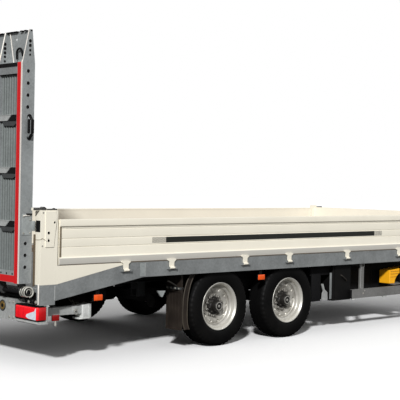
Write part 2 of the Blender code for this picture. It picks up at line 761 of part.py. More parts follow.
def ramp_bars(rear, front, inner_y):
    """Channel beams, notched cross-members, hinge eyes and the grab handle."""
    wall = RAMP_WALL
    pieces = []
    for number in range(len(RAMP_BEAM_YS)):
        y = ramp_beam_y(number)
        far = y + RAMP_BEAM_WIDTHS[number]
        outline = [
            (rear, y), (front, y), (front, far), (front - wall, far),
            (front - wall, y + wall), (rear + wall, y + wall), (rear + wall, far), (rear, far),
        ]
        pieces.append(prism(outline, "z", RAMP_FOOT_Z, RAMP_TIP_Z))
    notch_y = -RAMP_OUTER_Y + RAMP_BEAM_WIDTHS[0] + RAMP_NOTCH[0]
    for rise in RAMP_CROSS_RISES:
        low = RAMP_FOOT_Z + rise - RAMP_CROSS_HEIGHT / 2
        pieces.append(
            prism(
                [(rear + 0.012, notch_y), (rear + RAMP_NOTCH[1], notch_y - RAMP_NOTCH[0] * 0.6),
                 (rear + RAMP_NOTCH[1], -RAMP_OUTER_Y + 0.003), (front - 0.003, -RAMP_OUTER_Y + 0.003),
                 (front - 0.003, inner_y - 0.003), (rear + 0.012, inner_y - 0.003)],
                "z", low, low + RAMP_CROSS_HEIGHT,
            )
        )
    for number in range(len(RAMP_BEAM_YS)):
        y = hinge_eye_y(number)
        pieces.append(prism(eye_outline(), "y", y, y + HINGE_EYE_THICK))
    low = RAMP_TIP_Z - RAMP_HANDLE_DROP
    high = low + RAMP_HANDLE_HEIGHT
    x = (rear + front) / 2 + RAMP_WALL
    face = -RAMP_OUTER_Y
    pieces.append(
        tube([(x, face + wall / 2, low), (x, face - RAMP_HANDLE_PROUD, low + RAMP_HANDLE_PROUD),
              (x, face - RAMP_HANDLE_PROUD, high - RAMP_HANDLE_PROUD), (x, face + wall / 2, high)],
             RAMP_HANDLE_RADIUS, 1)
    )
    return pieces


def ramp():
    """The right-hand ramp: its bars and sheet, tapered at the tip and drilled."""
    rear = RAMP_REAR_X
    front = RAMP_FRONT_X - RAMP_WALL
    inner_y = ramp_beam_y(-1) + RAMP_BEAM_WIDTHS[-1]
    solid = joined(ramp_bars(rear, front, inner_y) + [ramp_sheet(front, inner_y)])
    tip_rear = RAMP_TIP_X - RAMP_TIP_THICK
    skin = 0.001
    past = 0.05
    cutters = []
    for foot_x, tip_x, inward in ((rear, tip_rear, 1), (RAMP_FRONT_X, RAMP_TIP_X, -1)):
        away = foot_x - inward * past
        cutters.append(
            prism(
                [(away, RAMP_BEVEL_Z), (foot_x + inward * skin, RAMP_BEVEL_Z),
                 (tip_x + inward * skin, RAMP_TIP_Z), (tip_x + inward * skin, RAMP_TIP_Z + past),
                 (away, RAMP_TIP_Z + past)],
                "y", -RAMP_OUTER_Y - past, inner_y + past,
            )
        )
    plates = [
        prism(
            [(RAMP_FRONT_X, RAMP_BEVEL_Z - skin), (RAMP_TIP_X, RAMP_TIP_Z - skin),
             (RAMP_TIP_X - RAMP_WALL, RAMP_TIP_Z - skin),
             (RAMP_FRONT_X - RAMP_WALL * 2, RAMP_BEVEL_Z - skin)],
            "y", -RAMP_OUTER_Y + skin, inner_y - skin,
        )
    ]
    solid = joined([cut(solid, cutters)] + plates)
    middle_x = (rear + front) / 2
    tip_middle_x = (tip_rear + RAMP_TIP_X) / 2
    holes = [(middle_x, RAMP_FOOT_Z + rise, RAMP_HOLE_RADIUS) for rise in RAMP_HOLE_RISES]
    holes += [(middle_x, RAMP_TIP_Z - drop, RAMP_HOLE_RADIUS) for drop in RAMP_HOLE_DROPS]
    holes += [(tip_middle_x, RAMP_TIP_Z - drop, RAMP_TIP_HOLE_RADIUS) for drop in RAMP_TIP_HOLE_DROPS]
    drills = [
        cylinder("y", (x, z), radius, -RAMP_OUTER_Y - past, -RAMP_OUTER_Y + RAMP_WALL + 0.01,
                 KNUCKLE_SIDES)
        for x, z, radius in holes
    ]
    web_y = ramp_beam_y(1)
    drills += [
        cylinder("y", (tip_middle_x, RAMP_TIP_Z - drop), RAMP_TIP_HOLE_RADIUS,
                 web_y - 0.01, web_y + RAMP_WALL + 0.01, KNUCKLE_SIDES)
        for drop in RAMP_TIP_HOLE_DROPS
    ]
    drills += [
        cylinder("x", (ramp_beam_y(bay) + offset, RAMP_TIP_Z - RAMP_PLATE_HOLE_DROP),
                 RAMP_PLATE_HOLE_RADIUS, tip_rear - past, RAMP_TIP_X + past, KNUCKLE_SIDES)
        for bay in (0, 1) for offset in RAMP_PLATE_HOLES
    ]
    drills.append(
        cylinder("y", (RAMP_HINGE_X, RAMP_HINGE_Z),
                 (HINGE_PIN_RADIUS + PIN_GAP) / math.cos(math.pi / PIN_SIDES),
                 -RAMP_OUTER_Y - past, inner_y + past)
    )
    return cut(solid, drills)


def eye_outline():
    """Side view of a hinge eye: round the pin below, straight up to the ramp's beam."""
    seat_z = RAMP_FOOT_Z + 0.002
    top = RAMP_FOOT_Z + 0.06
    front = RAMP_HINGE_X + HINGE_PIN_RADIUS
    rear = RAMP_HINGE_X - 0.06
    steps = 6
    arc = [math.pi * (1 + step / steps) for step in range(steps + 1)]
    points = [
        (RAMP_HINGE_X + HINGE_EYE_RADIUS * math.cos(a), RAMP_HINGE_Z + HINGE_EYE_RADIUS * math.sin(a))
        for a in arc
    ]
    return points + [(front, seat_z), (front, top), (rear, top), (rear, seat_z)]


def hinge_beam():
    """Rear crossbeam with the ears and pins that carry both ramps."""
    x0, x1 = HINGE_BEAM_X
    reach = HINGE_EAR_REACH
    wide = POST_INNER_Y + 0.03
    pieces = [box((x0, x1), (-wide, wide), HINGE_BEAM_Z)]
    outline = [
        (RAMP_HINGE_X - reach, RAMP_HINGE_Z - reach), (x0 + 0.004, RAMP_HINGE_Z - 0.045),
        (x0 + 0.004, HINGE_BEAM_Z[1] - 0.014), (RAMP_HINGE_X + 0.010, RAMP_HINGE_Z + reach - 0.004),
        (RAMP_HINGE_X - reach, RAMP_HINGE_Z + reach - 0.004),
    ]
    for side in (-1, 1):
        for number in range(len(RAMP_BEAM_YS)):
            y = -hinge_eye_y(number) - HINGE_EYE_THICK - 0.001
            pieces.append(prism(outline, "y", side * y, side * (y - HINGE_EAR_THICK)))
        far = RAMP_OUTER_Y + HINGE_PIN_PROUD
        near = -ramp_beam_y(-1) - HINGE_EYE_THICK - HINGE_EAR_THICK - 0.006
        pieces.append(
            cylinder("y", (RAMP_HINGE_X, RAMP_HINGE_Z), HINGE_PIN_RADIUS, side * near, side * far)
        )
    return joined(pieces)


def ramp_spring():
    """Lift-assist torsion spring round the hinge, its tail on the crossbeam."""
    start = -RAMP_OUTER_Y - HINGE_PIN_PROUD
    per_turn = 10
    points = []
    for step in range(SPRING_COIL_TURNS * per_turn + 1):
        angle = 2 * math.pi * step / per_turn
        points.append((
            RAMP_HINGE_X + SPRING_COIL_RADIUS * math.sin(angle),
            start + SPRING_COIL_PITCH * step / per_turn,
            RAMP_HINGE_Z - SPRING_COIL_RADIUS * math.cos(angle),
        ))
    end = points[-1]
    points.append((HINGE_BEAM_X[0] - SEAT, end[1], end[2]))
    return tube(points, SPRING_WIRE_RADIUS, 1)


def rear_beam():
    """Box beam across the rear, with a pocket frame for each lamp."""
    x0, x1 = REAR_BEAM_X
    z0, z1 = REAR_BEAM_Z
    plate = x1 - REAR_BEAM_PLATE
    pieces = [box((x0, x1), (-LAMP_INNER_Y, LAMP_INNER_Y), (z0, z1))]
    top = deck_z(REAR_POST_X[1]) - END_BLOCK_DROP - SEAT
    for side in (-1, 1):
        inner = side * (LAMP_INNER_Y - 0.01)
        outer = side * RAIL_FACE_Y
        skin = side * 0.0002
        pieces += [
            box((plate, x1 - 0.0002), (inner, outer), (z0 + 0.0002, top - 0.0002)),
            box((x0 + 0.0002, x1 - 0.004), (inner, outer - skin), (z0 + 0.0004, LAMP_Z[0] - SEAT)),
            box((x0 + 0.06, x1 - 0.004), (inner, outer - skin * 2), (LAMP_Z[1] + SEAT, top - 0.0004)),
        ]
    return joined(pieces)


def rear_lamp():
    """Lamp block with rounded corners, in its pocket at the beam's right-hand end."""
    x0 = REAR_BEAM_X[0] - LAMP_PROUD
    x1 = REAR_BEAM_X[1] - REAR_BEAM_PLATE - SEAT
    block = box((x0, x1), (-RAIL_FACE_Y + 0.006, -LAMP_INNER_Y - SEAT), LAMP_Z)
    bm = bmesh.new()
    bm.from_mesh(block.data)
    bpy.data.objects.remove(block, do_unlink=True)
    rear = [edge for edge in bm.edges if all(vert.co.x < x0 + 0.001 for vert in edge.verts)]
    bmesh.ops.bevel(bm, geom=rear, offset=LAMP_CORNER, segments=3, profile=0.5, affect="EDGES")
    return mesh_object(bm)


def corner_post():
    """Rear corner post: bolted plate, ramp lock pocket, holes and the latch lever on top."""
    x0, x1 = REAR_POST_X
    outer = -RAIL_FACE_Y
    post = box((x0, x1), (outer, -POST_INNER_Y), (deck_z(x1) + SEAT, REAR_POST_TOP_Z))
    edge, foot, head = (x0 + offset for offset in POST_PLATE_X)
    plate = prism(
        [(foot, POST_PLATE_Z[0]), (head - 0.006, POST_PLATE_Z[1] - 0.05), (head - 0.015, POST_PLATE_Z[1]),
         (edge, POST_PLATE_Z[1]), (edge, POST_PLATE_Z[0])],
        "y", outer - 0.006, outer - 0.006 + POST_PLATE_THICK,
    )
    rear, shoulder, tip = LATCH_LEVER_X
    width, thin, thick = LATCH_LEVER
    lever_y = outer + 0.020
    foot_z = REAR_POST_TOP_Z - 0.002
    levers = [
        box((rear, shoulder), (lever_y, lever_y + width), (foot_z, REAR_POST_TOP_Z + thick)),
        box((rear + 0.01, tip), (lever_y + 0.004, lever_y + width - 0.004),
            (foot_z + 0.001, REAR_POST_TOP_Z + thin)),
    ]
    cutters = [
        box((x0 - 0.02, x0 + POST_POCKET_DEPTH), (outer + POST_WALL, -POST_INNER_Y - POST_WALL / 2),
            POST_POCKET_Z)
    ]
    for from_rear, rise in POST_HOLES:
        cutters.append(
            cylinder("y", (x0 + from_rear, DECK_Z + rise), POST_HOLE_RADIUS,
                     outer - 0.02, outer + POST_WALL, KNUCKLE_SIDES)
        )
    return cut(joined([post, plate] + levers), cutters)


def tail_side():
    """Side plate between the falling rail and the dropside's lower edge."""
    top = DROPSIDE_LOW_Z - 0.007
    x0 = REAR_POST_X[1] + SEAT
    outline = [
        (x0, deck_z(x0) + SEAT), (KNEE_X, DECK_Z + SEAT), (KNEE_X, top), (x0, top),
    ]
    return prism(outline, "y", -RAIL_FACE_Y, -RAIL_FACE_Y + 0.035)


def strap_outline(x):
    """Face of a hinge strap: a wide head under the panel, tapering to a straight shank."""
    head_z = DROPSIDE_LOW_Z
    head = STRAP_HEAD_WIDTH / 2
    shank = STRAP_WIDTH / 2
    neck = head_z - STRAP_HEAD_HEIGHT
    return [
        (x - head, head_z + STRAP_LAP), (x - head, head_z), (x - shank, neck), (x - shank, DROPSIDE_PIVOT_Z),
        (x + shank, DROPSIDE_PIVOT_Z), (x + shank, neck), (x + head, head_z), (x + head, head_z + STRAP_LAP),
    ]


def panel_outline():
    """Section of the rolled dropside: hem, recessed field with its grooves, and top band."""
    outer = -DROPSIDE_FACE_Y
    field = outer + DROPSIDE_RECESS
    low = DROPSIDE_LOW_Z
    points = [(outer + HEM_INSET, low), (outer, low + LOW_BAND), (field, low + LOW_BAND + BAND_SLOPE)]
    half = GROOVE_HEIGHT / 2
    for rise in GROOVE_RISES:
        points += [
            (field, low + rise - half), (field + GROOVE_DEPTH, low + rise - half * 0.5),
            (field + GROOVE_DEPTH, low + rise + half * 0.5), (field, low + rise + half),
        ]
    recess_top = DROPSIDE_TOP_Z - TOP_BAND
    inner = outer + DROPSIDE_THICK
    return points + [
        (field, recess_top - BAND_SLOPE), (outer, recess_top), (outer, DROPSIDE_TOP_Z),
        (inner, DROPSIDE_TOP_Z), (inner, low),
    ]


def dropside():
    """Right-hand dropside: rolled panel with its hinge straps and pins."""
    outer = -DROPSIDE_FACE_Y
    pieces = [prism(panel_outline(), "x", DROPSIDE_REAR_X, DROPSIDE_FRONT_X)]
    half = STRAP_WIDTH / 2
    head = STRAP_HEAD_WIDTH / 2 - 0.0005
    strap_y = (-STRAP_INNER_Y - STRAP_THICK, -STRAP_INNER_Y)
    pivot = (-DROPSIDE_PIVOT_Y, DROPSIDE_PIVOT_Z)
    for x in STRAP_XS:
        pieces += [
            prism(strap_outline(x), "y", *strap_y),
            box((x - head, x + head), (strap_y[0] + 0.0005, outer + HEM_INSET * 2),
                (DROPSIDE_LOW_Z + 0.0005, DROPSIDE_LOW_Z + STRAP_LAP - 0.0005)),
            cylinder("x", pivot, KNUCKLE_RADIUS, x - half - 0.0002, x + half + 0.0002, KNUCKLE_SIDES),
            cylinder("x", pivot, KNUCKLE_RADIUS / 2, x - half - 0.0032, x + half + 0.0032, KNUCKLE_SIDES),
        ]
    return joined(pieces)


def headboard():
    """Front wall before the deck's end, between two posts on the rails."""
    x0, x1 = FRONT_POST_X
    back = x1 - HEADBOARD_THICK
    inner = RAIL_FACE_Y - RAIL_TOP_FLANGE
    pieces = [
        box((back, x1 - 0.001), (-inner - 0.01, inner + 0.01), (DECK_Z + SEAT * 2, HEADBOARD_TOP_Z)),
        box((back + 0.0002, x1 - 0.0012), (-inner + SEAT, inner - SEAT),
            (DECK_Z - DECK_THICK, DECK_Z + SEAT * 3)),
    ]
    for side in (-1, 1):
        pieces.append(
            box((x0, x1), (side * (inner + SEAT), side * RAIL_FACE_Y),
                (DECK_Z + SEAT * 1.5, FRONT_POST_TOP_Z))
        )
    return joined(pieces)


def drawbar():
    """V of two box beams under the main beams, meeting in the coupling head."""
    top = DRAWBAR_TOP_Z
    low = top - DRAWBAR_HEIGHT
    half = DRAWBAR_WIDTH / 2
    pieces = []
    for side in (-1, 1):
        outline = [
            (DRAWBAR_REAR_X, side * (BEAM_Y + half)), (DRAWBAR_REAR_X, side * (BEAM_Y - half)),
            (DRAWBAR_HEAD_X - 0.05, side * (DRAWBAR_HEAD_Y - half)),
            (DRAWBAR_HEAD_X - 0.05, side * (DRAWBAR_HEAD_Y + half)),
        ]
        pieces.append(prism(outline, "z", low, top))
    wide = DRAWBAR_HEAD_Y + half - 0.01
    pieces.append(
        box((DRAWBAR_HEAD_X - DRAWBAR_HEAD_LENGTH, DRAWBAR_HEAD_X), (-wide, wide), (low - 0.012, top + 0.012))
    )
    jack_y = leg_y(JACK_X)
    pieces.append(
        box((JACK_X - 0.06, JACK_X + 0.06), (jack_y, jack_y + JACK_ARM), (low + 0.01, top - 0.01))
    )
    return joined(pieces)


def leg_y(x):
    """Middle of the left drawbar beam at x."""
    share = (x - DRAWBAR_REAR_X) / (DRAWBAR_HEAD_X - 0.05 - DRAWBAR_REAR_X)
    return BEAM_Y + (DRAWBAR_HEAD_Y - BEAM_Y) * share


def towing_eye():
    """Drawbar eye on its flange."""
    z = DRAWBAR_TOP_Z - DRAWBAR_HEIGHT / 2
    x0 = DRAWBAR_HEAD_X + SEAT
    wide = EYE_FLANGE / 2
    high = DRAWBAR_HEIGHT / 2
    shank = EYE_SHANK / 2
    thick = EYE_THICK / 2
    pieces = [
        box((x0, x0 + EYE_FLANGE_THICK), (-wide, wide), (z - high, z + high)),
        box((x0 + 0.01, EYE_X - EYE_OUTER_RADIUS / 2), (-shank, shank),
            (z - shank + 0.004, z + shank - 0.004)),
        cylinder("z", (EYE_X, 0), EYE_OUTER_RADIUS, z - thick, z + thick, RIM_SIDES),
    ]
    hole = cylinder("z", (EYE_X, 0), EYE_INNER_RADIUS, z - 0.05, z + 0.05, HUB_SIDES)
    return cut(joined(pieces), [hole])


def jack():
    """Parking jack: outer tube with its crank, and the inner leg with its foot."""
    half = JACK_TUBE / 2
    y = leg_y(JACK_X) + JACK_ARM + SEAT + half
    crank_y = y + half + 0.06
    crank_z = JACK_TOP_Z - 0.06
    grip_z = crank_z - JACK_CRANK_THROW
    outer = joined([
        box((JACK_X - half, JACK_X + half), (y - half, y + half), (JACK_TUBE_LOW_Z, JACK_TOP_Z)),
        tube([(JACK_X, y + half - 0.01, crank_z), (JACK_X, crank_y, crank_z),
              (JACK_X, crank_y, grip_z), (JACK_X, crank_y + JACK_CRANK_GRIP, grip_z)], JACK_CRANK_RADIUS),
    ])
    inside = JACK_LEG / 2 + SEAT
    outer = cut(outer, [
        box((JACK_X - inside, JACK_X + inside), (y - inside, y + inside),
            (JACK_TUBE_LOW_Z - 0.05, JACK_CUT_Z))
    ])
    half = JACK_LEG / 2
    foot = JACK_FOOT / 2
    inner = joined([
        box((JACK_X - half, JACK_X + half), (y - half, y + half), (0.004, JACK_CUT_Z - SEAT)),
        box((JACK_X - foot, JACK_X + foot), (y - foot, y + foot), (0, JACK_FOOT_THICK)),
    ])
    return outer, inner


def side_guard():
    """Underrun guard: lower rail, hanging posts and the chock's tray."""
    inner = -GUARD_FACE_Y + GUARD_THICK
    pieces = [box(GUARD_X, (-GUARD_FACE_Y, inner), GUARD_Z)]
    top = DECK_Z - CROSS_DEPTH - SEAT
    half = GUARD_POST / 2
    for x in GUARD_POST_XS:
        pieces += [
            box((x - half, x + half), (inner - 0.004, inner + GUARD_POST_DEPTH), (GUARD_Z[0] + 0.01, top)),
            box((x - half + 0.001, x + half - 0.001), (inner, -GUARD_ARM_Y),
                (top - GUARD_POST, top - 0.0002)),
        ]
    tray = CHOCK_LOW_Z - SEAT
    pieces.append(
        box((CHOCK_X[0] + 0.02, GUARD_POST_XS[1]), (inner + 0.01, -CHOCK_Y[0]), (tray - TRAY_THICK, tray))
    )
    return joined(pieces)


def chock():
    """Wheel chock on its tray, standing on its heel with the curved face down and forward."""
    x0, x1 = CHOCK_X
    z0 = CHOCK_LOW_Z
    top = z0 + CHOCK_HEIGHT
    curve = []
    steps = 6
    for step in range(steps + 1):
        angle = math.pi / 2 * step / steps
        curve.append((
            x1 - (x1 - x0 - CHOCK_HEEL) * math.cos(angle),
            z0 + (CHOCK_HEIGHT - CHOCK_NOSE) * math.sin(angle),
        ))
    outline = [(x0, z0)] + curve + [(x1, top), (x0, top - CHOCK_NOSE)]
    return prism(outline, "y", -CHOCK_Y[1], -CHOCK_Y[0])


def mudflap():
    """Rubber flap behind the rear wheel, hung from its cross-member by a bracket."""
    y0, y1 = -FLAP_Y[1], -FLAP_Y[0]
    z0, z1 = FLAP_Z
    half = FLAP_THICK / 2
    return joined([
        box((FLAP_X - half, FLAP_X + half), (y0, y1), (z0, z1)),
        box((FLAP_X - half * 2, FLAP_X + half * 2.3), (y0 + 0.01, y1 - 0.01),
            (z1 - FLAP_LAP, DECK_Z - CROSS_DEPTH - SEAT)),
    ])


def marker(x):
    """Side marker lamp under the rail, on a short bracket from its inside."""
    low = rail_low_z(x)
    y0 = -RAIL_FACE_Y + 0.002
    half = MARKER_LENGTH / 2
    reach = MARKER_ARM / 2
    z1 = low - MARKER_DROP
    return joined([
        box((x - half, x + half), (y0, y0 + MARKER_DEPTH), (z1 - MARKER_HEIGHT, z1)),
        prism(
            [(x - reach, rail_low_z(x - reach) - SEAT), (x + reach, rail_low_z(x + reach) - SEAT),
             (x + reach, z1 - 0.01), (x - reach, z1 - 0.01)],
            "y", y0 + 0.005, y0 + MARKER_DEPTH - 0.002,
        ),
    ])


def equipment_box():
    """Closed steel box on two straps under the cross-members before the wheels."""
    top = DECK_Z - CROSS_DEPTH - SEAT
    half = STRAP_STEEL_WIDTH / 2
    under_cross = CROSS_XS[5]
    pieces = [box(BOX_X, (-BOX_Y[1], -BOX_Y[0]), (top - 0.002 - BOX_HEIGHT, top - 0.002))]
    for y in (-BOX_Y[1] + 0.06, -BOX_Y[0] - 0.06):
        pieces.append(
            box((under_cross, BOX_X[1] + 0.04), (y - half, y + half), (top - STRAP_STEEL, top))
        )
    return joined(pieces)


def support_leg():
    """Rear support leg, folded up level under the tail."""
    x0 = REAR_BEAM_X[1] + SEAT
    half = LEG_TUBE / 2
    foot = LEG_FOOT / 2
    foot_z = LEG_Z - LEG_FOOT_DROP
    return joined([
        box((x0, LEG_FRONT_X), (-LEG_Y - half, -LEG_Y + half), (LEG_Z - half, LEG_Z + half)),
        box((LEG_FRONT_X - LEG_FOOT_THICK * 0.6, LEG_FRONT_X + LEG_FOOT_THICK * 0.4),
            (-LEG_Y - foot, -LEG_Y + foot), (foot_z - foot, foot_z + foot)),
    ])


def build():
    """Every sub-part in its place."""
    node("chassis_frame", chassis(), "galvanised")
    pair("side_rail", side_rail(), "galvanised")
    wide = RAIL_FACE_Y - RAIL_TOP_FLANGE - SEAT
    deck_front = PLATFORM_FRONT_X - HEADBOARD_THICK - SEAT
    node("deck_flat", along_deck(KNEE_X + SEAT, deck_front, 0, DECK_THICK, -wide, wide), "deck_wood")
    node("deck_tail", along_deck(TAIL_END_X, KNEE_X - SEAT, 0, DECK_THICK, -wide, wide), "galvanised")
    node("rear_beam", rear_beam(), "galvanised")
    node("ramp_hinge_beam", hinge_beam(), "galvanised")
    pair("rear_lamp", rear_lamp(), "red_lens")
    pair("corner_post", corner_post(), "cream_paint")
    pair("tail_side", tail_side(), "cream_paint")
    node("headboard", headboard(), "cream_paint")
    node("drawbar", drawbar(), "galvanised")
    node("towing_eye", towing_eye(), "black_steel")
    outer, inner = jack()
    node("jack_tube", outer, "galvanised")
    node("jack_leg", inner, "galvanised")
    for label, x in (("rear", 0.0), ("front", AXLE_SPACING)):
        node("axle_" + label, axle(x), "black_steel")
        pair("leaf_spring_" + label, leaf_spring(x, -BEAM_Y), "black_steel")
    pair("side_guard", side_guard(), "galvanised")
    pair("wheel_chock", chock(), "chock_yellow")
    pair("mudflap", mudflap(), "flap_rubber")
    pair("support_leg", support_leg(), "galvanised")
    for label, x in zip(("rear", "middle"), MARKER_XS):
        pair("side_marker_" + label, marker(x), "orange_lens")
    pair("ramp_spring", ramp_spring(), "galvanised", (0, 0, 0), True)
    node("equipment_box", equipment_box(), "black_steel")
    tank_z = DECK_Z - CROSS_DEPTH - SEAT - TANK_RADIUS
    node(
        "air_tank",
        cylinder("y", (TANK_X, tank_z), TANK_RADIUS, -TANK_LENGTH / 2, TANK_LENGTH / 2, RIM_SIDES),
        "black_steel", smooth=True,
    )
    wheels()
    pair("ramp", ramp(), "galvanised", (RAMP_HINGE_X, -RAMP_OUTER_Y, RAMP_HINGE_Z))
    pair("dropside", dropside(), "cream_paint", (0, -DROPSIDE_PIVOT_Y, DROPSIDE_PIVOT_Z))


build()
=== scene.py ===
from functools import reduce
import math

import bmesh
import bpy
import numpy as np
from mathutils import Matrix, Vector


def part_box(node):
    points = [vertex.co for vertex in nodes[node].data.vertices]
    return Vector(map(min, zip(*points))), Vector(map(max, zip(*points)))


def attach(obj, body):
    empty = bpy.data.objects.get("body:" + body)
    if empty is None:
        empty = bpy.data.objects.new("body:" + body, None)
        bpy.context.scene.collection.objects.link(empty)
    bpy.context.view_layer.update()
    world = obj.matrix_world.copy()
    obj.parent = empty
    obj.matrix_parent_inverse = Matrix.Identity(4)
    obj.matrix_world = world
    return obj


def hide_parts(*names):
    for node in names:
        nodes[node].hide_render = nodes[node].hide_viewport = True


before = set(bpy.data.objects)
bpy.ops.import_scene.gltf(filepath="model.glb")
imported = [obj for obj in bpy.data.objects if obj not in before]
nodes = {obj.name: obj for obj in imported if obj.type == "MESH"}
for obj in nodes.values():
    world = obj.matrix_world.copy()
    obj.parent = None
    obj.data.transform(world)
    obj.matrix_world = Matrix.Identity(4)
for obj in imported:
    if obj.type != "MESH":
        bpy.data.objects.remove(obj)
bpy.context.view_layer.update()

# Looks of the two-axle truck trailer. Metres, +X to the towing eye, the right-hand side is -Y.
sides = (("R", -1), ("L", 1))
print("frame loaded,", len(nodes), "nodes")


# Geometry: a shape is a pair, points as an (n, 3) array and faces as a list of index arrays

def smoothLine(points, perSpan):
    # Catmull-Rom curve: each span blends its four nearest points by cubic weights in t
    points = np.asarray(points, float)
    padded = np.vstack([2 * points[:1] - points[1:2], points, 2 * points[-1:] - points[-2:-1]])
    t = np.arange(perSpan)[None, :, None] / perSpan
    a, b, c, d = padded[:-3, None], padded[1:-2, None], padded[2:-1, None], padded[3:, None]
    curve = 0.5 * (2 * b + (c - a) * t + (2 * a - 5 * b + 4 * c - d) * t**2
                   + (3 * b - a - 3 * c + d) * t**3)
    return np.vstack([curve.reshape(-1, points.shape[1]), points[-1:]])


def gridFaces(rows, columns, closeRows=False, closeColumns=False):
    # quads between neighbouring rows and columns, wrapping round where a direction is closed
    r = np.arange(rows if closeRows else rows - 1)
    c = np.arange(columns if closeColumns else columns - 1)
    r, c = np.meshgrid(r, c, indexing="ij")
    r1, c1 = (r + 1) % rows, (c + 1) % columns
    quads = np.stack([r * columns + c, r1 * columns + c, r1 * columns + c1, r * columns + c1], -1)
    return quads.reshape(-1, 4)


def turnedShape(outline, steps, centre, side, shift=None):
    # (radius, outward y) outline turned about a y axis: x = r cos a, z = r sin a
    outline = np.asarray(outline, float)
    angle = np.arange(steps) * 2 * np.pi / steps
    radius = np.repeat(outline[None, :, 0], steps, 0)
    outward = np.repeat(outline[None, :, 1], steps, 0)
    if shift is not None:
        radius, outward = shift(angle[:, None], radius, outward)
    points = np.stack([
        centre[0] + radius * np.cos(angle)[:, None],
        centre[1] + side * outward,
        centre[2] + radius * np.sin(angle)[:, None],
    ], -1).reshape(-1, 3)
    return points, [gridFaces(steps, len(outline), True, True)]


def barShape(section, stations, axis):
    # a closed (a, b) section carried straight along one axis, one ring a station, ends capped
    section = np.asarray(section, float)
    count, rows = len(section), len(stations)
    along = np.repeat(np.asarray(stations, float), count)
    a, b = np.tile(section[:, 0], rows), np.tile(section[:, 1], rows)
    order = {"x": (along, a, b), "y": (a, along, b), "z": (a, b, along)}[axis]
    points = np.stack(order, -1)
    caps = [np.arange(count)[None, ::-1], (np.arange(count) + (rows - 1) * count)[None]]
    return points, [gridFaces(rows, count, False, True), *caps]


def tubeShape(points, radius, around=10, closed=False):
    # a circle carried along a path; its frame is turned on from point to point without twist
    path = np.asarray(points, float)
    if closed:
        tangent = np.roll(path, -1, 0) - np.roll(path, 1, 0)
    else:
        tangent = np.gradient(path, axis=0)
    tangent /= np.linalg.norm(tangent, axis=1)[:, None]
    normal = np.empty_like(path)
    start = np.cross(tangent[0], (0.31, 0.52, 0.79))
    normal[0] = start / np.linalg.norm(start)
    for step in range(1, len(path)):
        turned = normal[step - 1] - tangent[step] * (normal[step - 1] @ tangent[step])
        normal[step] = turned / np.linalg.norm(turned)
    side = np.cross(tangent, normal)
    angle = np.arange(around) * 2 * np.pi / around
    ring = np.cos(angle)[None, :, None] * normal[:, None] + np.sin(angle)[None, :, None] * side[:, None]
    points = (path[:, None] + radius * ring).reshape(-1, 3)
    faces = [gridFaces(len(path), around, closed, True)]
    if not closed:
        faces += [np.arange(around)[None, ::-1], (np.arange(around) + (len(path) - 1) * around)[None]]
    return points, faces


def roundedBox(low, high, radius, steps=3):
    # corners of a small ball pushed out to the box's eight corners, as a grid of latitude and longitude
    low, high = np.minimum(low, high).astype(float), np.maximum(low, high).astype(float)
    half = (high - low) / 2
    radius = min(radius, *(half * 0.98))
    quarter = np.linspace(0, np.pi / 2, steps + 1)
    longitude = np.concatenate([quarter + k * np.pi / 2 for k in range(4)])
    corner = np.repeat(np.arange(4), steps + 1)
    latitude = np.concatenate([quarter - np.pi / 2, quarter])
    up = np.repeat([-1, 1], steps + 1)
    signX = np.array([1, -1, -1, 1])[corner]
    signY = np.array([1, 1, -1, -1])[corner]
    lat, lon = np.meshgrid(latitude, longitude, indexing="ij")
    upGrid = np.repeat(up[:, None], len(longitude), 1)
    x = signX[None] * (half[0] - radius) + radius * np.cos(lat) * np.cos(lon)
    y = signY[None] * (half[1] - radius) + radius * np.cos(lat) * np.sin(lon)
    z = upGrid * (half[2] - radius) + radius * np.sin(lat)
    points = np.stack([x, y, z], -1).reshape(-1, 3) + (low + high) / 2
    columns = len(longitude)
    faces = [gridFaces(len(latitude), columns, False, True)]
    base = np.arange(columns)
    faces += [base[None, ::-1], (base + (len(latitude) - 1) * columns)[None]]
    return points, faces


def moved(shape, offset):
    # every point by one offset
    points, faces = shape
    return points + offset, faces


def mirroredShape(shape):
    # the other hand: y changes sign
    points, faces = shape
    return points * np.array([1, -1, 1]), faces


def merged(shapes):
    # shapes laid one after the other, their face numbers moved on
    points, faces, start = [], [], 0
    for shapePoints, shapeFaces in shapes:
        points.append(shapePoints)
        faces += [group + start for group in shapeFaces]
        start += len(shapePoints)
    return np.vstack(points), faces


def roundEdges(piece, width, sharp):
    # a live bevel on the edges sharper than an angle in degrees
    edge = piece.modifiers.new("edges", "BEVEL")
    edge.width = width
    edge.segments = 2
    edge.limit_method = "ANGLE"
    edge.angle_limit = math.radians(sharp)
    edge.harden_normals = True


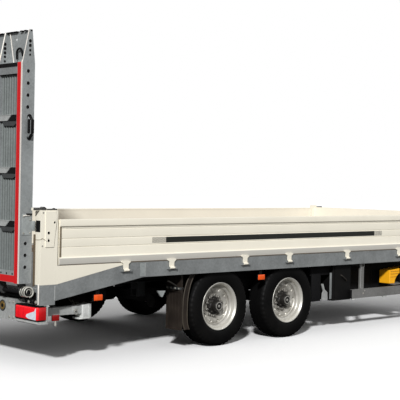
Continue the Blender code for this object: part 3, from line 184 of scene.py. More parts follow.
def makePiece(name, shapes, material, body, slot, replaced=(), bevel=0.0, sharp=35):
    # the mesh from whole arrays; doubles merged, faces turned out, smooth up to the sharp angle
    points, faces = merged(shapes)
    sizes = np.concatenate([np.full(len(group), group.shape[1]) for group in faces])
    corners = np.concatenate([group.reshape(-1) for group in faces])
    mesh = bpy.data.meshes.new(name)
    mesh.vertices.add(len(points))
    mesh.vertices.foreach_set("co", points.astype(np.float32).ravel())
    mesh.loops.add(len(corners))
    mesh.loops.foreach_set("vertex_index", corners.astype(np.int32))
    mesh.polygons.add(len(sizes))
    starts = np.concatenate([[0], np.cumsum(sizes)[:-1]])
    mesh.polygons.foreach_set("loop_start", starts.astype(np.int32))
    mesh.update(calc_edges=True)
    mesh.validate()
    work = bmesh.new()
    work.from_mesh(mesh)
    bmesh.ops.remove_doubles(work, verts=work.verts, dist=1e-6)
    bmesh.ops.recalc_face_normals(work, faces=work.faces)
    work.to_mesh(mesh)
    work.free()
    piece = bpy.data.objects.new(name, mesh)
    bpy.context.scene.collection.objects.link(piece)
    mesh.shade_smooth()
    mesh.set_sharp_from_angle(angle=math.radians(sharp))
    if bevel:
        roundEdges(piece, bevel, sharp)
    mesh.materials.append(material)
    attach(piece, body)
    if replaced:
        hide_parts(*replaced)


def softenNode(node, width):
    # rounds a CAD node's edges with live modifiers; its own mesh stays as it is
    weld = node.modifiers.new("weld", "WELD")
    weld.merge_threshold = 0.00005
    roundEdges(node, width, 40)


# Shader helpers take sockets and numbers, and find their node tree from the sockets

def feed(source, target):
    # a socket is linked, a number or colour is set
    if isinstance(source, bpy.types.NodeSocket):
        target.id_data.links.new(source, target)
    else:
        target.default_value = source


def addNode(kind, values, output=0, **properties):
    # a node with its properties, its inputs fed by number or name, and one or more of its outputs
    tree = next(value.id_data for value in values.values() if isinstance(value, bpy.types.NodeSocket))
    node = tree.nodes.new(kind)
    for key, value in properties.items():
        setattr(node, key, value)
    for key, value in values.items():
        feed(value, node.inputs[key])
    return node.outputs[output]


def calc(operation, *values, clamp=False):
    # one Math node
    return addNode("ShaderNodeMath", dict(enumerate(values)), operation=operation, use_clamp=clamp)


def times(*values):
    # all values multiplied
    return reduce(lambda first, second: calc("MULTIPLY", first, second), values)


def plus(*values):
    # all values added
    return reduce(lambda first, second: calc("ADD", first, second), values)


def below(value, limit):
    return calc("LESS_THAN", value, limit)


def above(value, limit):
    return calc("GREATER_THAN", value, limit)


def mixed(share, first, second):
    # one colour mix
    return addNode("ShaderNodeMix", {0: share, 6: first, 7: second}, 2, data_type="RGBA")


def toward(share, first, second):
    # a number moved by its share from the first to the second
    return calc("MULTIPLY_ADD", share, calc("SUBTRACT", second, first), first)


def spread(value, fromLow, fromHigh, toLow, toHigh, curve="LINEAR"):
    # a value carried from one range to another, clamped
    values = dict(enumerate((value, fromLow, fromHigh, toLow, toHigh)))
    return addNode("ShaderNodeMapRange", values, interpolation_type=curve)


def between(value, low, high, soft):
    # 1 where the value lies between two limits, with soft edges
    return times(spread(value, low - soft / 2, low + soft / 2, 0, 1, "SMOOTHSTEP"),
                 spread(value, high - soft / 2, high + soft / 2, 1, 0, "SMOOTHSTEP"))


def noise(place, scale, detail=3.0, stretch=(1, 1, 1), rough=0.55):
    # fractal noise on stretched Object coordinates
    vector = addNode("ShaderNodeMapping", {"Vector": place, "Scale": stretch})
    values = {"Vector": vector, "Scale": scale, "Detail": detail, "Roughness": rough}
    return addNode("ShaderNodeTexNoise", values)


def scaledColour(colour, gain):
    return addNode("ShaderNodeVectorMath", {0: colour, "Scale": gain}, operation="SCALE")


def objectPlace(tree):
    return tree.nodes.new("ShaderNodeTexCoord").outputs["Object"]


def axesOf(place):
    # x, y and z of the coordinates
    return addNode("ShaderNodeSeparateXYZ", {0: place}, slice(3))


def newGroup(name, colours, numbers):
    # an empty shader group, its Object coordinates and its colour and number inputs
    group = bpy.data.node_groups.new(name, "ShaderNodeTree")
    sockets = [(label, "INPUT", "Color") for label in colours]
    sockets += [(label, "INPUT", "Float") for label in numbers]
    sockets += [("Color", "OUTPUT", "Color"), ("Roughness", "OUTPUT", "Float"), ("Height", "OUTPUT", "Float")]
    for label, way, kind in sockets:
        group.interface.new_socket(name=label, in_out=way, socket_type="NodeSocket" + kind)
    start = group.nodes.new("NodeGroupInput")
    return group, objectPlace(group), *[start.outputs[label] for label in (*colours, *numbers)]


def closeGroup(group, colour, rough, height):
    # the three results on the group's output
    end = group.nodes.new("NodeGroupOutput")
    feed(colour, end.inputs["Color"])
    feed(rough, end.inputs["Roughness"])
    feed(height, end.inputs["Height"])
    return group


def zincGroup():
    # hot-dip zinc: crystal cells, cloudy patches and rain streaks over one grey
    group, place, grey, contrast, scale = newGroup("zincSkin", ("Grey",), ("Contrast", "Cells"))
    cells = addNode("ShaderNodeTexVoronoi", {"Vector": place, "Scale": scale}, "Color")
    tone, gloss = addNode("ShaderNodeSeparateColor", {0: cells}, slice(2))
    cloud = noise(place, 4.5, 5.0)
    streak = noise(place, 9.0, 3.0, (1.0, 1.0, 0.12))
    fine = noise(place, 90.0, 2.0)
    shade = plus(calc("MULTIPLY_ADD", tone, 0.3, -0.15), spread(cloud, 0.3, 0.7, -0.22, 0.24),
                 spread(streak, 0.35, 0.7, -0.1, 0.14), spread(fine, 0.3, 0.7, -0.06, 0.06))
    colour = scaledColour(grey, plus(times(shade, contrast), 1.0))
    rough = plus(spread(cloud, 0.3, 0.7, 0.42, 0.6), times(gloss, 0.08))
    return closeGroup(group, colour, rough, calc("MULTIPLY_ADD", tone, 0.35, fine))


def paintGroup():
    # sprayed paint: faint clouding, orange-peel height, road film toward the ground
    group, place, paint, dirt, top, share = newGroup(
        "sprayPaint", ("Paint", "Film"), ("Film Top", "Film Share"))
    x, y, z = axesOf(place)
    cloud = noise(place, 2.2, 4.0)
    speck = noise(place, 60.0, 4.0)
    run = noise(place, 14.0, 3.0, (1.0, 1.0, 0.1))
    low = spread(calc("SUBTRACT", top, z), 0.0, 0.55, 0.0, 1.0)
    film = times(low, spread(speck, 0.3, 0.75, 0.25, 1.0), spread(run, 0.3, 0.7, 0.5, 1.1))
    film = calc("MULTIPLY", film, share, clamp=True)
    tint = mixed(spread(cloud, 0.35, 0.7, 0.0, 0.1), paint, dirt)
    rough = plus(spread(cloud, 0.3, 0.7, 0.28, 0.38), times(film, 0.4))
    peel = noise(place, 320.0, 1.0)
    return closeGroup(group, mixed(film, tint, dirt), rough, plus(peel, times(speck, 0.3)))


def dustGroup():
    # pale road dust gathered in clouds, thicker toward the ground
    group, place, base, dust, top, share = newGroup("roadDust", ("Base", "Dust"), ("Top", "Share"))
    x, y, z = axesOf(place)
    cloud = noise(place, 7.0, 5.0)
    fine = noise(place, 120.0, 3.0)
    low = spread(calc("SUBTRACT", top, z), -0.3, 0.7, 0.2, 1.0)
    mask = plus(times(spread(cloud, 0.35, 0.7, 0.0, 1.0), low), spread(fine, 0.35, 0.8, 0.0, 0.25))
    mask = calc("MULTIPLY", mask, share, clamp=True)
    return closeGroup(group, mixed(mask, base, dust), spread(mask, 0.0, 0.6, 0.48, 0.85), fine)


def plankGroup():
    # sawn boards along x: grain stretched with the board, each board its own shade
    group, place, light, dark, pitch = newGroup("plankGrain", ("Light", "Dark"), ("Pitch",))
    x, y, z = axesOf(place)
    board = calc("FLOOR", calc("DIVIDE", y, pitch))
    pick = addNode("ShaderNodeTexWhiteNoise", {"W": board}, noise_dimensions="1D")
    grain = noise(place, 26.0, 6.0, (0.06, 1.0, 1.0), 0.6)
    broad = noise(place, 5.0, 3.0, (0.15, 1.0, 1.0))
    shade = plus(times(grain, 0.9), times(broad, 0.5), calc("MULTIPLY_ADD", pick, 0.5, -0.55))
    share = spread(shade, 0.1, 0.95, 0.0, 1.0)
    return closeGroup(group, mixed(share, dark, light), spread(grain, 0.3, 0.7, 0.6, 0.85), grain)


groups = {"zinc": zincGroup(), "paint": paintGroup(), "dust": dustGroup(), "plank": plankGroup()}


def newMaterial(name):
    # a material with its shader, and the tree to build on
    material = bpy.data.materials.new(name)
    material.use_nodes = True
    tree = material.node_tree
    return material, tree, tree.nodes["Principled BSDF"]


def dress(shader, colour, rough, metallic, shine, coat):
    # the values that every finish sets on its shader
    names = ("Base Color", "Roughness", "Metallic", "Specular IOR Level", "Coat Weight")
    for label, value in zip(names, (colour, rough, metallic, shine, coat)):
        feed(value, shader.inputs[label])


def groupedMaterial(name, group, inputs, metallic=0.0, bump=0.1, distance=0.001, overlay=None, coat=0.0,
                    shine=0.5):
    # one group feeds colour, roughness and height; overlay may paint over the colour
    material, tree, shader = newMaterial(name)
    effect = tree.nodes.new("ShaderNodeGroup")
    effect.node_tree = groups[group]
    for label, value in inputs.items():
        effect.inputs[label].default_value = value
    colour, rough = effect.outputs["Color"], effect.outputs["Roughness"]
    if overlay:
        colour, rough = overlay(colour, rough, *axesOf(objectPlace(tree)))
    dress(shader, colour, rough, metallic, shine, coat)
    shader.inputs["Coat Roughness"].default_value = coatRough
    bumpValues = {"Strength": bump, "Distance": distance, "Height": effect.outputs["Height"]}
    feed(addNode("ShaderNodeBump", bumpValues), shader.inputs["Normal"])
    return material


coatRough = 0.12
dropsideLook = {
    "paint": (0.875, 0.828, 0.702, 1), "film": (0.42, 0.385, 0.31, 1), "hem": (0.4, 0.4, 0.4, 1),
    "stripe": (0.01, 0.011, 0.008, 1), "stripeGrey": (0.2, 0.19, 0.165, 1), "stripeX": (-2.845, 0.61),
    "greyEnds": (0.17, 0.14), "stripeZ": (1.04, 1.093), "dotPitch": 0.016, "outside": 1.255,
    # the hem keys paint shade on the downward-facing hem
    "hemTop": (0.933, 0.938), "hemShadeShare": 0.55, "stripeRough": 0.55,
}


def stripeOverlay(colour, rough, x, y, z):
    # the dark stripe along the panel with a short dotted grey piece at each end
    look = dropsideLook
    outside = above(calc("ABSOLUTE", y), look["outside"])
    start, end = look["stripeX"]
    whole = times(between(x, start, end, 0.004), times(between(z, *look["stripeZ"], 0.002), outside))
    dark = between(x, start + look["greyEnds"][0], end - look["greyEnds"][1], 0.006)
    dots = calc("SINE", times(plus(x, z), 2 * math.pi / look["dotPitch"]))
    grey = mixed(spread(dots, -0.2, 0.2, 0.25, 1.0), colour, look["stripeGrey"])
    ink = mixed(dark, grey, look["stripe"])
    # painted shade: a grey over the downward-facing hem below the field
    hem = times(spread(z, *look["hemTop"], 1.0, 0.0), outside)
    hemShaded = mixed(times(hem, look["hemShadeShare"]), colour, look["hem"])
    return mixed(whole, hemShaded, ink), toward(whole, rough, look["stripeRough"])


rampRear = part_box("ramp_R")[0].x
rampLook = {
    # edge is a pale colour painted as the highlight along the outer beam's rear edge
    "tape": (0.66, 0.006, 0.009, 1), "edge": (0.8, 0.74, 0.68, 1), "sheet": (0.11, 0.118, 0.116, 1),
    "tapeY": (1.13, 1.182), "tapeTop": 2.58, "footBand": (0.735, 0.793), "tapeRough": 0.6,
    "bevel": (2.574, 2.855), "lean": 0.063, "skin": 0.0035, "sheetDepth": 0.1, "sheetTop": 2.5,
    "sheetY": 1.192, "sheetShare": 0.75,
    # the hinge keys paint shade over the hinge eyes at the ramp's foot
    "hingeShadeTop": 0.728, "hingeShadeY": 1.14, "hingeShadeShare": 0.85, "hingeShadeColour": (0.012, 0.012, 0.012, 1),
}


def rampOverlay(colour, rough, x, y, z):
    # red tape and painted highlight on the beam's rear face, red foot band, darker sheet, painted shade on
    # the eyes
    look = rampLook
    wide = calc("ABSOLUTE", y)
    lean = spread(z, *look["bevel"], 0.0, look["lean"])
    rear = below(calc("SUBTRACT", x, lean), rampRear + look["skin"])
    tape = times(between(wide, *look["tapeY"], 0.0015), below(z, look["tapeTop"]))
    foot = times(between(z, *look["footBand"], 0.002), below(wide, look["tapeY"][1]))
    sheet = times(above(x, rampRear + look["sheetDepth"]), below(z, look["sheetTop"]),
                  below(wide, look["sheetY"]))
    base = mixed(times(sheet, look["sheetShare"]), colour, look["sheet"])
    # painted highlight: the pale strip outside the tape stands for the beam's lit outer edge
    base = mixed(times(above(wide, look["tapeY"][1]), rear), base, look["edge"])
    # painted shade: the hinge eyes at the foot are darkened where the shade under the ramp falls
    hingeShade = times(below(z, look["hingeShadeTop"]), below(wide, look["hingeShadeY"]))
    base = mixed(times(hingeShade, look["hingeShadeShare"]), base, look["hingeShadeColour"])
    mask = times(calc("MAXIMUM", tape, foot), rear)
    return mixed(mask, base, look["tape"]), toward(mask, rough, look["tapeRough"])


# rim dish colour: brake dirt together with painted shade inside the dish
rimDirtShadeLook = {
    "dirt": (0.085, 0.072, 0.054, 1), "dish": (1.185, 1.115), "ring": (1.141, 1.147), "ringDirtShadeShare": 0.45,
    "share": 0.74, "clean": 0.34, "dull": 0.28,
}


def rimDirtShadeOverlay(colour, rough, x, y, z):
    # brake dirt and painted shade grow with the depth inside the dish and gather in rings
    look = rimDirtShadeLook
    wide = calc("ABSOLUTE", y)
    cloud = spread(noise(objectPlace(colour.id_data), 16.0, 5.0), 0.34, 0.6, 0.25, 1.0)
    deep = times(spread(wide, *look["dish"], 0.0, 1.0), cloud)
    share = plus(deep, times(between(wide, *look["ring"], 0.004), look["ringDirtShadeShare"]))
    share = calc("MULTIPLY", share, look["share"], clamp=True)
    return mixed(share, colour, look["dirt"]), calc("MULTIPLY_ADD", share, look["dull"], look["clean"])


def plainMaterial(name, colour, rough, metallic, shine, coat):
    # one colour with a faint cloud in it
    material, tree, shader = newMaterial(name)
    shade = spread(noise(objectPlace(tree), 40.0), 0.3, 0.7, 0.88, 1.12)
    dress(shader, scaledColour(colour, shade), rough, metallic, shine, coat)
    return material


# Zinc finishes: the grey under the crystals
zincShades = {
    # the near-black zinc is painted shade on the chassis frame and the ramp gussets
    "zinc": (0.235, 0.247, 0.247), "zincDark": (0.05, 0.053, 0.054), "zincLight": (0.4, 0.41, 0.4),
    "lockZinc": (0.36, 0.385, 0.38), "springZinc": (0.5, 0.49, 0.44),
    # the palest zinc is painted light on the guard posts and the support leg's foot
    "ribs": (0.14, 0.155, 0.151), "paintedLightZinc": (0.66, 0.67, 0.65), "guardZinc": (0.185, 0.183, 0.176),
    "zincRamp": (0.3, 0.318, 0.318),
}

# Dusty finishes: base, dust, top of the dust, its share, metallic, bump, bump distance, shine
dustyShades = {
    "hub": ((0.006, 0.0055, 0.005), (0.03, 0.022, 0.014), 0.7, 0.35, 0.2, 0.35, 0.001, 0.6),
    "wheelNut": ((0.22, 0.215, 0.2), (0.13, 0.1, 0.07), 0.7, 0.4, 0.75, 0.15, 0.0005, 0.5),
    "darkNut": ((0.035, 0.033, 0.03), (0.06, 0.045, 0.03), 0.7, 0.4, 0.6, 0.2, 0.0006, 0.6),
    "nut": ((0.52, 0.51, 0.47), (0.2, 0.16, 0.11), 0.7, 0.35, 0.75, 0.15, 0.0005, 0.5),
    "tyre": ((0.0024, 0.0024, 0.0026), (0.012, 0.011, 0.009), 0.42, 0.34, 0.0, 0.2, 0.0005, 0.1),
    "black": ((0.0036, 0.0036, 0.0038), (0.018, 0.016, 0.013), 0.6, 0.3, 0.0, 0.15, 0.0005, 0.14),
    "flapEdge": ((0.05, 0.042, 0.033), (0.08, 0.062, 0.045), 0.55, 0.5, 0.0, 0.3, 0.0008, 0.2),
    "flap": ((0.013, 0.0095, 0.0075), (0.055, 0.042, 0.031), 0.5, 0.55, 0.0, 0.3, 0.0008, 0.25),
    "axle": ((0.008, 0.008, 0.008), (0.036, 0.03, 0.024), 0.6, 0.5, 0.0, 0.3, 0.0008, 0.25),
    "latchSteel": ((0.055, 0.056, 0.056), (0.12, 0.11, 0.1), 1.6, 0.5, 0.35, 0.2, 0.0005, 0.5),
    "rim": ((0.7, 0.685, 0.63), (0.3, 0.26, 0.2), 0.55, 0.35, 0.45, 0.05, 0.0004, 0.5),
}

# Painted finishes: paint, film, top of the film, its share, bump, bump distance, coat
paints = {
    "cream": (dropsideLook["paint"], dropsideLook["film"], 1.0, 0.22, 0.04, 0.0004, 0.1),
    "panel": (dropsideLook["paint"], dropsideLook["film"], 1.0, 0.22, 0.04, 0.0004, 0.05),
    "chock": ((1.0, 0.47, 0.01, 1), (0.42, 0.17, 0.02, 1), 0.75, 0.3, 0.1, 0.0005, 0.0),
    # a darker copy of the chock paint: painted shade on the chock's upper flank
    "chockShade": ((0.6, 0.28, 0.01, 1), (0.3, 0.15, 0.03, 1), 0.75, 0.3, 0.1, 0.0005, 0.0),
}

# Plain finishes: colour, roughness, metallic, shine, coat
plainShades = {
    # matt black, also painted shade in holes, the ramp notch, the hinge beam and the sheets under the deck
    "matt": ((0.005, 0.005, 0.0055), 0.75, 0.0, 0.15, 0.0),
    # pale edge colour: painted highlight on the ramp tip's edges and the rail's rear end
    "paleEdge": ((0.8, 0.76, 0.7), 0.45, 0.0, 0.5, 0.0),
    "creamShade": ((0.2, 0.165, 0.115), 0.7, 0.0, 0.2, 0.0),
    # a dark brown painted as shade in narrow gaps between parts
    "gapShadeBrown": ((0.115, 0.088, 0.058), 0.8, 0.0, 0.2, 0.0),
    "brass": ((0.42, 0.26, 0.07), 0.4, 0.8, 0.5, 0.0),
    "plateWhite": ((0.62, 0.63, 0.62), 0.35, 0.0, 0.5, 0.2),
    "redLens": ((0.92, 0.007, 0.016), 0.28, 0.0, 0.35, 0.3),
    "redSide": ((0.5, 0.007, 0.01), 0.28, 0.0, 0.35, 0.3),
    "redDark": ((0.26, 0.004, 0.004), 0.25, 0.0, 0.5, 0.3),
    "orangeLens": ((0.8, 0.095, 0.012), 0.18, 0.0, 0.5, 0.5),
    "clearLens": ((0.66, 0.72, 0.8), 0.14, 0.0, 0.5, 0.5),
}
overlays = {"zincRamp": rampOverlay, "panel": stripeOverlay, "rim": rimDirtShadeOverlay}


def buildMaterials():
    # every finish of the trailer, by name
    made = {}
    for key, grey in zincShades.items():
        values = {"Grey": (*grey, 1), "Contrast": 0.55, "Cells": 60.0}
        made[key] = groupedMaterial(key + "Skin", "zinc", values, 0.25, 0.2, 0.0006, overlays.get(key))
    for key, (base, dust, top, share, metallic, bump, distance, shine) in dustyShades.items():
        values = {"Base": (*base, 1), "Dust": (*dust, 1), "Top": top, "Share": share}
        made[key] = groupedMaterial(key + "Skin", "dust", values, metallic, bump, distance, overlays.get(key),
                                    shine=shine)
    for key, (paint, film, top, share, bump, distance, coat) in paints.items():
        values = {"Paint": paint, "Film": film, "Film Top": top, "Film Share": share}
        made[key] = groupedMaterial(key + "Paint", "paint", values, 0.0, bump, distance, overlays.get(key),
                                    coat)
    boards = {"Light": (0.27, 0.175, 0.1, 1), "Dark": (0.1, 0.06, 0.035, 1), "Pitch": 0.1355}
    made["deck"] = groupedMaterial("deckPlank", "plank", boards, 0.0, 0.4, 0.001)
    for key, look in plainShades.items():
        made[key] = plainMaterial(key + "Finish", *look)
    return made


finishes = buildMaterials()
print("materials ready,", len(finishes))

# Which finish each CAD node takes, and how much its edges are rounded
nodeLooks = {
    # the chassis frame's near-black zinc is painted shade for the shaded underside
    "chassis_frame": ("zincDark", 0.0015), "drawbar": ("zinc", 0.006), "towing_eye": ("black", 0.003),
    "side_rail": ("zinc", 0.0022), "deck_flat": ("deck", 0.0), "deck_tail": ("zinc", 0.0),
    # the hinge beam's matt black is painted shade under the ramps
    "rear_beam": ("zincLight", 0.003), "ramp_hinge_beam": ("matt", 0.0), "rear_lamp": ("redLens", 0.0),
    "corner_post": ("cream", 0.003), "tail_side": ("cream", 0.002), "headboard": ("cream", 0.004),
    "jack_tube": ("zinc", 0.003), "jack_leg": ("zinc", 0.003), "axle": ("axle", 0.004),
    "leaf_spring": ("axle", 0.001), "side_guard": ("guardZinc", 0.003), "wheel_chock": ("chock", 0.006),
    # the support leg's paler zinc is painted light
    "mudflap": ("flap", 0.002), "support_leg": ("zincLight", 0.003), "side_marker": ("orangeLens", 0.003),
    "ramp_spring": ("zincLight", 0.0), "equipment_box": ("black", 0.006), "air_tank": ("black", 0.0),
    "tyre": ("tyre", 0.0), "rim": ("rim", 0.0), "hub": ("hub", 0.0), "ramp": ("zincRamp", 0.0012),
    "dropside": ("panel", 0.003),
}


def lookOf(name):
    # the longest key that starts the node's name
    keys = [key for key in nodeLooks if name.startswith(key)]
    return nodeLooks[max(keys, key=len)]


for nodeName, node in nodes.items():
    finish, width = lookOf(nodeName)
    node.data.materials.clear()
    node.data.materials.append(finishes[finish])
    if width:
        softenNode(node, width)
print("CAD nodes dressed")


# Wheels

wheelSettings = {
    "steps": 192, "rimSteps": 256, "grooves": (0.022, 0.062), "grooveDepth": 0.011, "grooveWidth": 0.007,
    "notchEvery": 4, "notchDepth": 0.007, "shoulder": (0.365, 0.07), "crown": 0.35, "holes": 10,
    "holeRadius": 0.158, "holeSize": 0.013, "holeDepth": 0.016, "disc": 0.092, "seat": 0.0125,
    "nuts": (10, 0.5, 0.101), "nutSize": 0.0155, "lugs": (8, 0.25, 0.068), "bossSteps": 72,
}


def tyreOutline(radius, half, bead):
    # sidewall from bead to shoulder, then the tread with its grooves; mirrored to the inner side
    rows = ((0.0015, -0.0255), (0.0135, -0.0205), (0.022, -0.0125), (0.036, -0.0052), (0.058, -0.0012),
            (0.082, -0.0004), (0.11, -0.003), (0.132, -0.0085), (0.148, -0.016))
    wall = smoothLine([(bead + rise, half + out) for rise, out in rows], 4)
    tread = [(radius - 0.0125, half - 0.02), (radius - 0.0055, half - 0.027)]
    width, depth = wheelSettings["grooveWidth"] / 2, wheelSettings["grooveDepth"]
    for centre in reversed(wheelSettings["grooves"]):
        for y, deep in ((width, False), (width * 0.6, True), (-width * 0.6, True), (-width, False)):
            crown = radius - 0.0004 - wheelSettings["crown"] * (centre + y) * (centre + y)
            tread.append((radius - depth if deep else crown, centre + y))
    upper = np.vstack([wall, tread])
    lower = upper[::-1] * np.array([1, -1])
    return np.vstack([upper, lower])


def tyreNotches(angle, radius, outward):
    # cross cuts in both shoulders
    look = wheelSettings
    number = np.rint(angle * look["steps"] / (2 * np.pi)).astype(int)
    low, edge = look["shoulder"]
    cut = (number % look["notchEvery"] == 0) & (radius > low) & (np.abs(outward) > edge)
    return radius - cut * look["notchDepth"], outward


def rimOutline(lip, bead, width):
    # rolled lip, barrel with its drop centre, dished disc, and the back of both
    lipRows = ((0.0, -0.009), (-0.0002, -0.0022), (-0.0035, -0.0002), (-0.0075, -0.002), (-0.012, -0.0095),
               (-0.019, -0.015))
    dishRows = ((-0.0105, -0.03), (-0.0125, -0.048), (-0.018, -0.056), (-0.034, -0.064), (-0.043, -0.07),
                (-0.048, -0.078), (-0.056, -0.074), (-0.07, -0.073), (-0.085, -0.08), (-0.098, -0.089),
                (-0.112, -0.0915), (-0.133, -0.092))
    front = smoothLine([(start + rise, width + out) for start, rows in ((lip, lipRows), (bead, dishRows))
                        for rise, out in rows], 3)
    back = [
        (bead - 0.133, width - 0.104), (bead - 0.05, width - 0.104), (bead - 0.013, -width + 0.045),
        (bead - 0.009, -width + 0.01), (lip - 0.003, -width + 0.0008), (lip, -width + 0.004),
        (lip - 0.0006, -width + 0.0088), (bead, -width + 0.01), (bead, width - 0.01),
    ]
    return np.vstack([front, back])


def rimHoles(angle, radius, outward):
    # small ventilation holes pressed deep into the disc
    look = wheelSettings
    turn = 2 * np.pi / look["holes"]
    offset = (angle + turn / 2) % turn - turn / 2
    gap = np.hypot(offset * look["holeRadius"], radius - look["holeRadius"])
    front = outward > 0.01
    depth = np.clip((look["holeSize"] - gap) / 0.004, 0, 1) * front
    return radius, outward - depth * look["holeDepth"]


def evenPlaces(centre, count, shift, radius):
    # places spread evenly on a circle about a y axis
    turns = 2 * np.pi * (np.arange(count) + shift) / count
    return [(centre[0] + radius * math.cos(turn), centre[1], centre[2] + radius * math.sin(turn))
            for turn in turns]


def wheel(label, tag, side):
    look, end = wheelSettings, f"_{label}_{tag}"
    rimLow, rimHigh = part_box(f"rim_{label}_{tag}")
    hubLow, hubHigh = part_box(f"hub_{label}_{tag}")
    tyreLow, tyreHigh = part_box(f"tyre_{label}_{tag}")
    centre = ((rimLow.x + rimHigh.x) / 2, (rimLow.y + rimHigh.y) / 2, (rimLow.z + rimHigh.z) / 2)
    radius, half = (tyreHigh.x - tyreLow.x) / 2, (tyreHigh.y - tyreLow.y) / 2
    lip, width = (rimHigh.x - rimLow.x) / 2, (rimHigh.y - rimLow.y) / 2
    bead, disc, size = lip - look["seat"], width - look["disc"], look["nutSize"]
    # the cap's outer face and the hub's back, measured outward from the wheel's middle
    cap = abs(hubHigh.y if side > 0 else hubLow.y) - abs(centre[1])
    back = abs(hubLow.y if side > 0 else hubHigh.y) - abs(centre[1])

    def turned(outline, steps, place=centre, shift=None):
        return turnedShape(outline, steps, place, side, shift)

    def wheelPiece(name, shapes, finish, slot, replaced=(), sharp=40):
        makePiece(name + end, shapes, finishes[finish], "wheel" + end, slot, replaced, sharp=sharp)

    tread = turned(tyreOutline(radius, half, bead), look["steps"], shift=tyreNotches)
    wheelPiece("tyre_tread", [tread], "tyre", "tyre", ["tyre" + end])
    dish = turned(rimOutline(lip, bead, width), look["rimSteps"], shift=rimHoles)
    wheelPiece("rim_dish", [dish], "rim", "rim_paint", ["rim" + end], 50)
    boss = [
        (0.0, cap - 0.0012), (0.02, cap - 0.0012), (0.034, cap - 0.0015), (0.0375, cap - 0.0032),
        (0.04, cap - 0.0006), (0.047, cap - 0.0004), (0.0505, cap - 0.0035),
        (0.052, cap - 0.01), (0.0535, 0.05), (0.0545, 0.037), (0.06, 0.0335), (0.064, 0.029),
        (0.078, 0.0285), (0.0825, 0.0255), (0.0835, 0.015), (0.0838, -0.0005), (0.163, -0.001),
        (0.165, -0.004), (0.165, -0.07), (0.165, back), (0.151, back), (0.151, -0.022), (0.062, -0.022),
        (0.062, back + 0.02), (0.0385, back + 0.02), (0.0385, 0.0), (0.0, 0.0),
    ]
    wheelPiece("hub_boss", [turned(boss, look["bossSteps"])], "hub", "hub_steel", ["hub" + end])
    # each nut: washer, six-sided body and stud, as rows of radius and height over the disc
    rows = [(16, ((1.12, 0.004), (1.12, -0.002))),
            (6, ((0.78, 0.02), (1.0, 0.017), (1.0, 0.003))),
            (12, ((0.42, 0.029), (0.48, 0.027), (0.48, 0.018)))]
    nuts = []
    for place in evenPlaces(centre, *look["nuts"]):
        for steps, outline in rows:
            points = [(0.0, outline[0][1]), *outline, (0.0, outline[-1][1])]
            nuts.append(turned([(wide * size, disc + rise) for wide, rise in points], steps, place))
    wheelPiece("wheel_nuts", nuts, "wheelNut", "hub_steel", sharp=30)
    ring = [(0.0335, cap - 0.004), (0.0345, cap + 0.0015), (0.0385, cap + 0.0026),
            (0.0425, cap + 0.0015), (0.0435, cap - 0.004)]
    dot = [(0.0, cap + 0.0026), (0.0105, cap + 0.0026), (0.013, cap + 0.001),
           (0.013, cap - 0.004), (0.0, cap - 0.004)]
    wheelPiece("hub_ring", [turned(ring, 64), turned(dot, 28)], "nut", "hub_steel", sharp=45)
    lug = [(0.0, 0.04), (0.0095, 0.04), (0.012, 0.037), (0.012, 0.026), (0.0, 0.026)]
    lugs = [turned(lug, 6, place) for place in evenPlaces(centre, *look["lugs"])]
    wheelPiece("hub_lugs", lugs, "darkNut", "hub_steel", sharp=30)
    stem = ((-0.15, 0.006, -0.06), (-0.158, 0.03, -0.063), (-0.166, 0.062, -0.066))
    valve = smoothLine([(centre[0] + x, centre[1] + side * y, centre[2] + z) for x, y, z in stem], 6)
    wheelPiece("tyre_valve", [tubeShape(valve, 0.0045, 10)], "black", "hub_steel", sharp=60)


for wheelLabel in ("rear", "front"):
    for tag, side in sides:
        wheel(wheelLabel, tag, side)
print("wheels turned")


# Shapes for the fittings: x from the rear axle, y as drawn on the left, mirrored for the right

axleX = (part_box("rim_rear_R")[0].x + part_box("rim_rear_R")[1].x) / 2


def roundedOutline(points, radius, steps=4):
    # each corner of a closed outline becomes a small curve, (1-t)^2 a + 2t(1-t) corner + t^2 b
    points = np.asarray(points, float)
    before, after = np.roll(points, 1, 0) - points, np.roll(points, -1, 0) - points
    lengthBefore, lengthAfter = np.linalg.norm(before, axis=1), np.linalg.norm(after, axis=1)
    reach = np.minimum(np.broadcast_to(radius, len(points)), 0.48 * np.minimum(lengthBefore, lengthAfter))
    a = points + before / lengthBefore[:, None] * reach[:, None]
    b = points + after / lengthAfter[:, None] * reach[:, None]
    t = np.linspace(0, 1, steps)[None, :, None]
    curve = (1 - t) ** 2 * a[:, None] + 2 * t * (1 - t) * points[:, None] + t**2 * b[:, None]
    return curve.reshape(-1, 2)


def plate(outline, axis, start, end, radius=0.0, steps=4):
    # a flat outline, its corners rounded, given a thickness along one axis
    section = roundedOutline(outline, radius, steps) if radius else outline
    return barShape(section, [start, end], axis)


def rectangle(a, b):
    # four corners from two ranges
    return [(a[0], b[0]), (a[1], b[0]), (a[1], b[1]), (a[0], b[1])]


def block(x, y, z, radius=0.002, steps=2):
    # a box from its three ranges, its edges rounded
    return roundedBox(np.array([x[0], y[0], z[0]]), np.array([x[1], y[1], z[1]]), radius, steps)


def circle(centre, radius, steps=24):
    angle = np.arange(steps) * 2 * np.pi / steps
    return np.stack([centre[0] + radius * np.cos(angle), centre[1] + radius * np.sin(angle)], -1)


def roundBar(axis, centre, radius, start, end, steps=24):
    return barShape(circle(centre, radius, steps), [start, end], axis)


def hexBolt(axis, centre, size, face, outward):
    # washer, six-sided head and stud end, standing on a face
    stack = ((1.15, 0.0, 0.1, 20), (0.92, 0.08, 0.55, 6), (0.45, 0.5, 0.85, 12))
    unit = outward * size
    return [roundBar(axis, centre, size * wide, face + unit * low, face + unit * high, steps)
            for wide, low, high, steps in stack]


def bolts(axis, centres, size, face, outward=1):
    # a hex bolt at every centre
    return [shape for centre in centres for shape in hexBolt(axis, centre, size, face, outward)]


